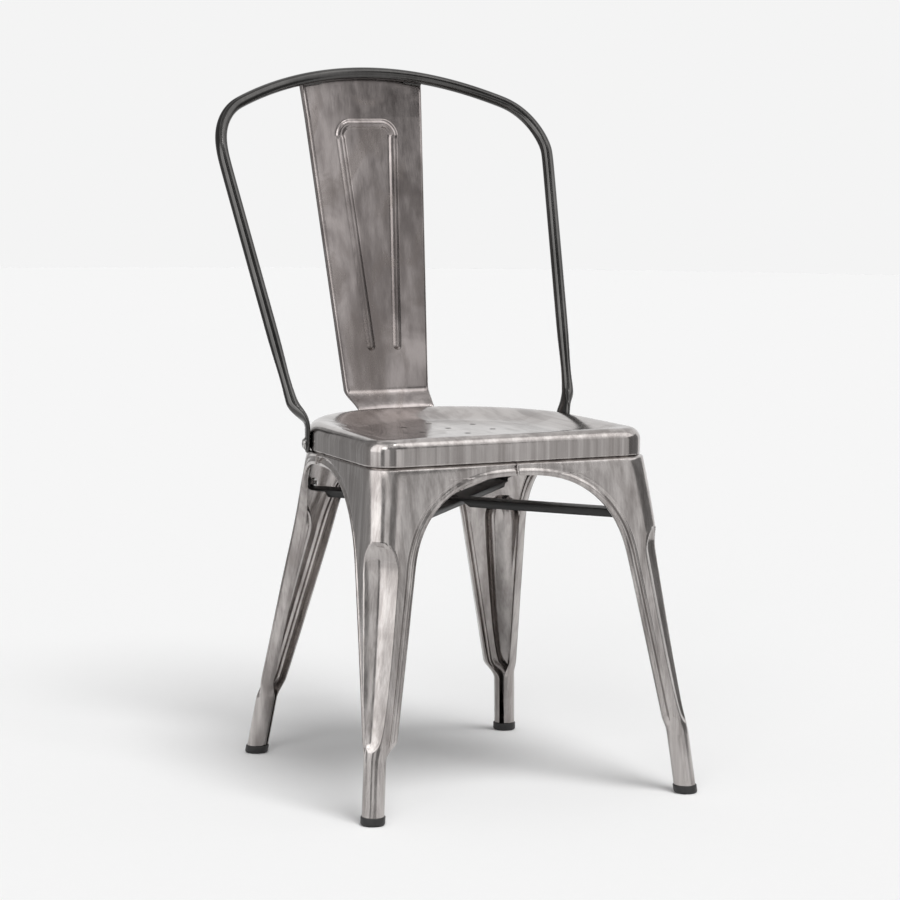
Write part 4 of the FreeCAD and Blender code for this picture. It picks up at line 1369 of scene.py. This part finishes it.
# %% Four bolts in their places
hoop_bolt_height = 404.5
hoop_shank = (3.0, 16.5)
washer_thickness = 1.0
splat_bolt_height = 410.0
splat_bolt_spacing = 60.0
splat_shank = (2.5, 12.4)
hoop_places = []
splat_places = []
for side in (-1, 1):
    point, normal = skirt_place(hoop_foot_y)
    outward = Vector((side * normal.x, normal.y, 0))
    stand_off = piece_gap / 2 + hoop_foot_thickness + washer_thickness + 2 * piece_gap / 3
    seat = Vector((side * point.x, point.y, hoop_bolt_height)) + outward * stand_off
    hoop_places.append((seat, outward))
    x = side * splat_bolt_spacing / 2
    seat = Vector((x, rear_wall_y(x) + splat_sheet + piece_gap, splat_bolt_height))
    splat_places.append((seat, Vector((0, 1, 0))))
for name, places, shank in (("hoop_bolts", hoop_places, hoop_shank),
                            ("splat_bolts", splat_places, splat_shank)):
    install(bolt_pair("domed_" + name, places, *shank), "fastener_steel", fastener_bright, name)

# %% Finishes for the nodes that stay
kept_nodes = {
    "hoop_washers": fastener_bright,
    "hoop_nuts": fastener_bright,
    "splat_nuts": fastener_bright,
    "brace_stud_nuts": fastener_bright,
    "brace_rivet": brace_black,
    "apron_welds": sheet_steel,
    "splat_welds": hoop_steel,
}
for node_name, material in kept_nodes.items():
    node_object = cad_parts[node_name]
    if not node_object.material_slots:
        node_object.data.materials.append(material)
    for kept_slot in node_object.material_slots:
        kept_slot.material = material
print("kept nodes:", sorted(kept_nodes))

# %% [markdown]
# ## Floor, background and light
#
# The picture has a pale ground that runs into a pale background, and a soft shadow under
# the chair. The floor is a large pale disc. The world is that same pale tone where the
# camera or a reflection looks at it, and dimmer as a light, because lamps light the chair as
# well. The lamps are suns with wide discs: their light is even over the whole floor, and
# soft. One stands high over the chair and makes the shadow between the legs.
#
# Steel shows what stands round it. In an all-white room it looks like grey paint, so a
# studio sets up dark flags, and bright strips between them. Here they are curved panels
# that only reflections see.

# %% Floor
floor_tones = (0.895, 0.905)
floor_radii = (1.0, 900.0, 3000.0, 9000.0)
floor_points = 64


def make_floor():
    rings = [[Vector((radius * c, radius * w, 0)) for c, w in circle(floor_points)]
             for radius in floor_radii]
    floor = grid_object("floor", rings, closed=True, flipped=True)
    paper = Finish("pale_floor_paper")
    grain = paper.noise((60, 60, 60), detail=2)
    paper.set(
        Base_Color=paper.tint(grain, *([tone] * 3 for tone in floor_tones)),
        Roughness=0.9,
        Specular_IOR_Level=0.0,
    )
    floor.data.materials.append(paper.material)


make_floor()
print("the floor reflects", floor_tones)

# %% World
background_tone = 0.905
world_light = 0.385


def make_world():
    world = bpy.data.worlds.new("pale_studio")
    world.use_nodes = True
    tree = world.node_tree
    tree.nodes.clear()

    def node(kind, *sources, **settings):
        made = tree.nodes.new("ShaderNode" + kind)
        for key, value in settings.items():
            setattr(made, key, value)
        for source, socket in zip(sources, made.inputs):
            tree.links.new(source, socket)
        return made

    rays = node("LightPath").outputs
    seen = node("Math", rays["Is Camera Ray"], rays["Is Glossy Ray"], operation="MAXIMUM")
    through = rays["Is Transmission Ray"]
    seen_or_through = node("Math", seen.outputs[0], through, operation="MAXIMUM")
    shaders = []
    for tone, strength in ((1.0, world_light), (background_tone, 1.0)):
        shader = node("Background")
        shader.inputs["Color"].default_value = (tone, tone, tone, 1)
        shader.inputs["Strength"].default_value = strength
        shaders.append(shader.outputs[0])
    choose = node("MixShader", seen_or_through.outputs[0], *shaders)
    node("OutputWorld", choose.outputs[0])
    scene.world = world


make_world()
print("the background has the tone", background_tone)


# %% Lamps
def add_lamp(name, turn, height, width, strength):
    """A sun that is width degrees wide. Returns the light that it gives a level place."""
    lamp = bpy.data.lights.new(name, "SUN")
    lamp.energy = strength
    lamp.angle = math.radians(width)
    holder = put_in_scene(name, lamp)
    towards = seen_from(turn, height)
    holder.rotation_euler = towards.to_track_quat("Z", "Y").to_euler()
    return towards.z * strength


on_floor = add_lamp("key_lamp", -40, 35, 30, 0.5)
on_floor += add_lamp("top_lamp", 10, 62, 30, 1.95)
floor_shows = (on_floor / math.pi + world_light) * sum(floor_tones) / 2
print("the lit floor shows as", round(floor_shows, 3))

# %% Flags and strips that only reflections see
panel_centre = Vector((0, 0, 450.0))


def add_panel(name, turns, heights, distance, tone):
    """Curved panel between two turns and two heights, as seen from the chair."""
    rows = [[panel_centre + seen_from(turn, height) * distance
             for turn in [turns[0]] + steps_between(*turns, 24)]
            for height in [heights[0]] + steps_between(*heights, 12)]
    panel = grid_object(name, rows)
    cloth = Finish(name)
    cloth.set(Base_Color=(0, 0, 0, 1), Specular_IOR_Level=0.0,
              Emission_Color=(tone, tone, tone, 1), Emission_Strength=1.0)
    panel.data.materials.append(cloth.material)
    panel.visible_camera = False
    panel.visible_diffuse = False
    panel.visible_transmission = False
    panel.visible_shadow = False


print("the panels look at a place", panel_centre.z, "up")

# %% Where the panels stand
near = 1400
far = 6000
low_band = (-17, 21)
panels = (
    ("flag_left", (-178, -97), low_band, near, 0.38),
    ("flag_beside_strip", (-57, -44), low_band, near, 0.22),
    ("half_flag_front", (-44, -27), low_band, near, 0.85),
    ("flag_front", (-27, -3), low_band, near, 0.3),
    ("strip_front", (-3, 14), low_band, near, 1.0),
    ("half_flag_front_right", (14, 20), low_band, near, 0.6),
    ("pale_panel_front_right", (20, 44), low_band, near, 0.8),
    ("flag_right", (44, 96), low_band, near, 0.24),
    ("half_flag_right", (96, 130), low_band, near, 1.0),
    ("strip_left_low", (-97, -57), (-17, -2), near, 1.0),
    ("strip_left", (-97, -57), (-2, 21), near, 1.9),
    ("flag_left_high", (-178, -97), (21, 60), near, 0.3),
    ("strip_left_high", (-97, -60), (21, 55), near, 2.0),
    ("strip_front_left_high", (-60, -38), (22, 50), far, 2.6),
    ("flag_front_right_high", (14, 31), (23, 68), far, 0.13),
    ("half_strip_right_high", (31, 42), (22, 72), far, 1.2),
    ("strip_right_high", (42, 80), (22, 72), far, 1.8),
    ("flag_front_high", (-38, 14), (22, 72), far, 0.2),
    ("flag_overhead", (-180, 180), (72, 89), far, 0.45),
)
for panel_row in panels:
    add_panel(*panel_row)
print("panels round the chair:", len(panels))
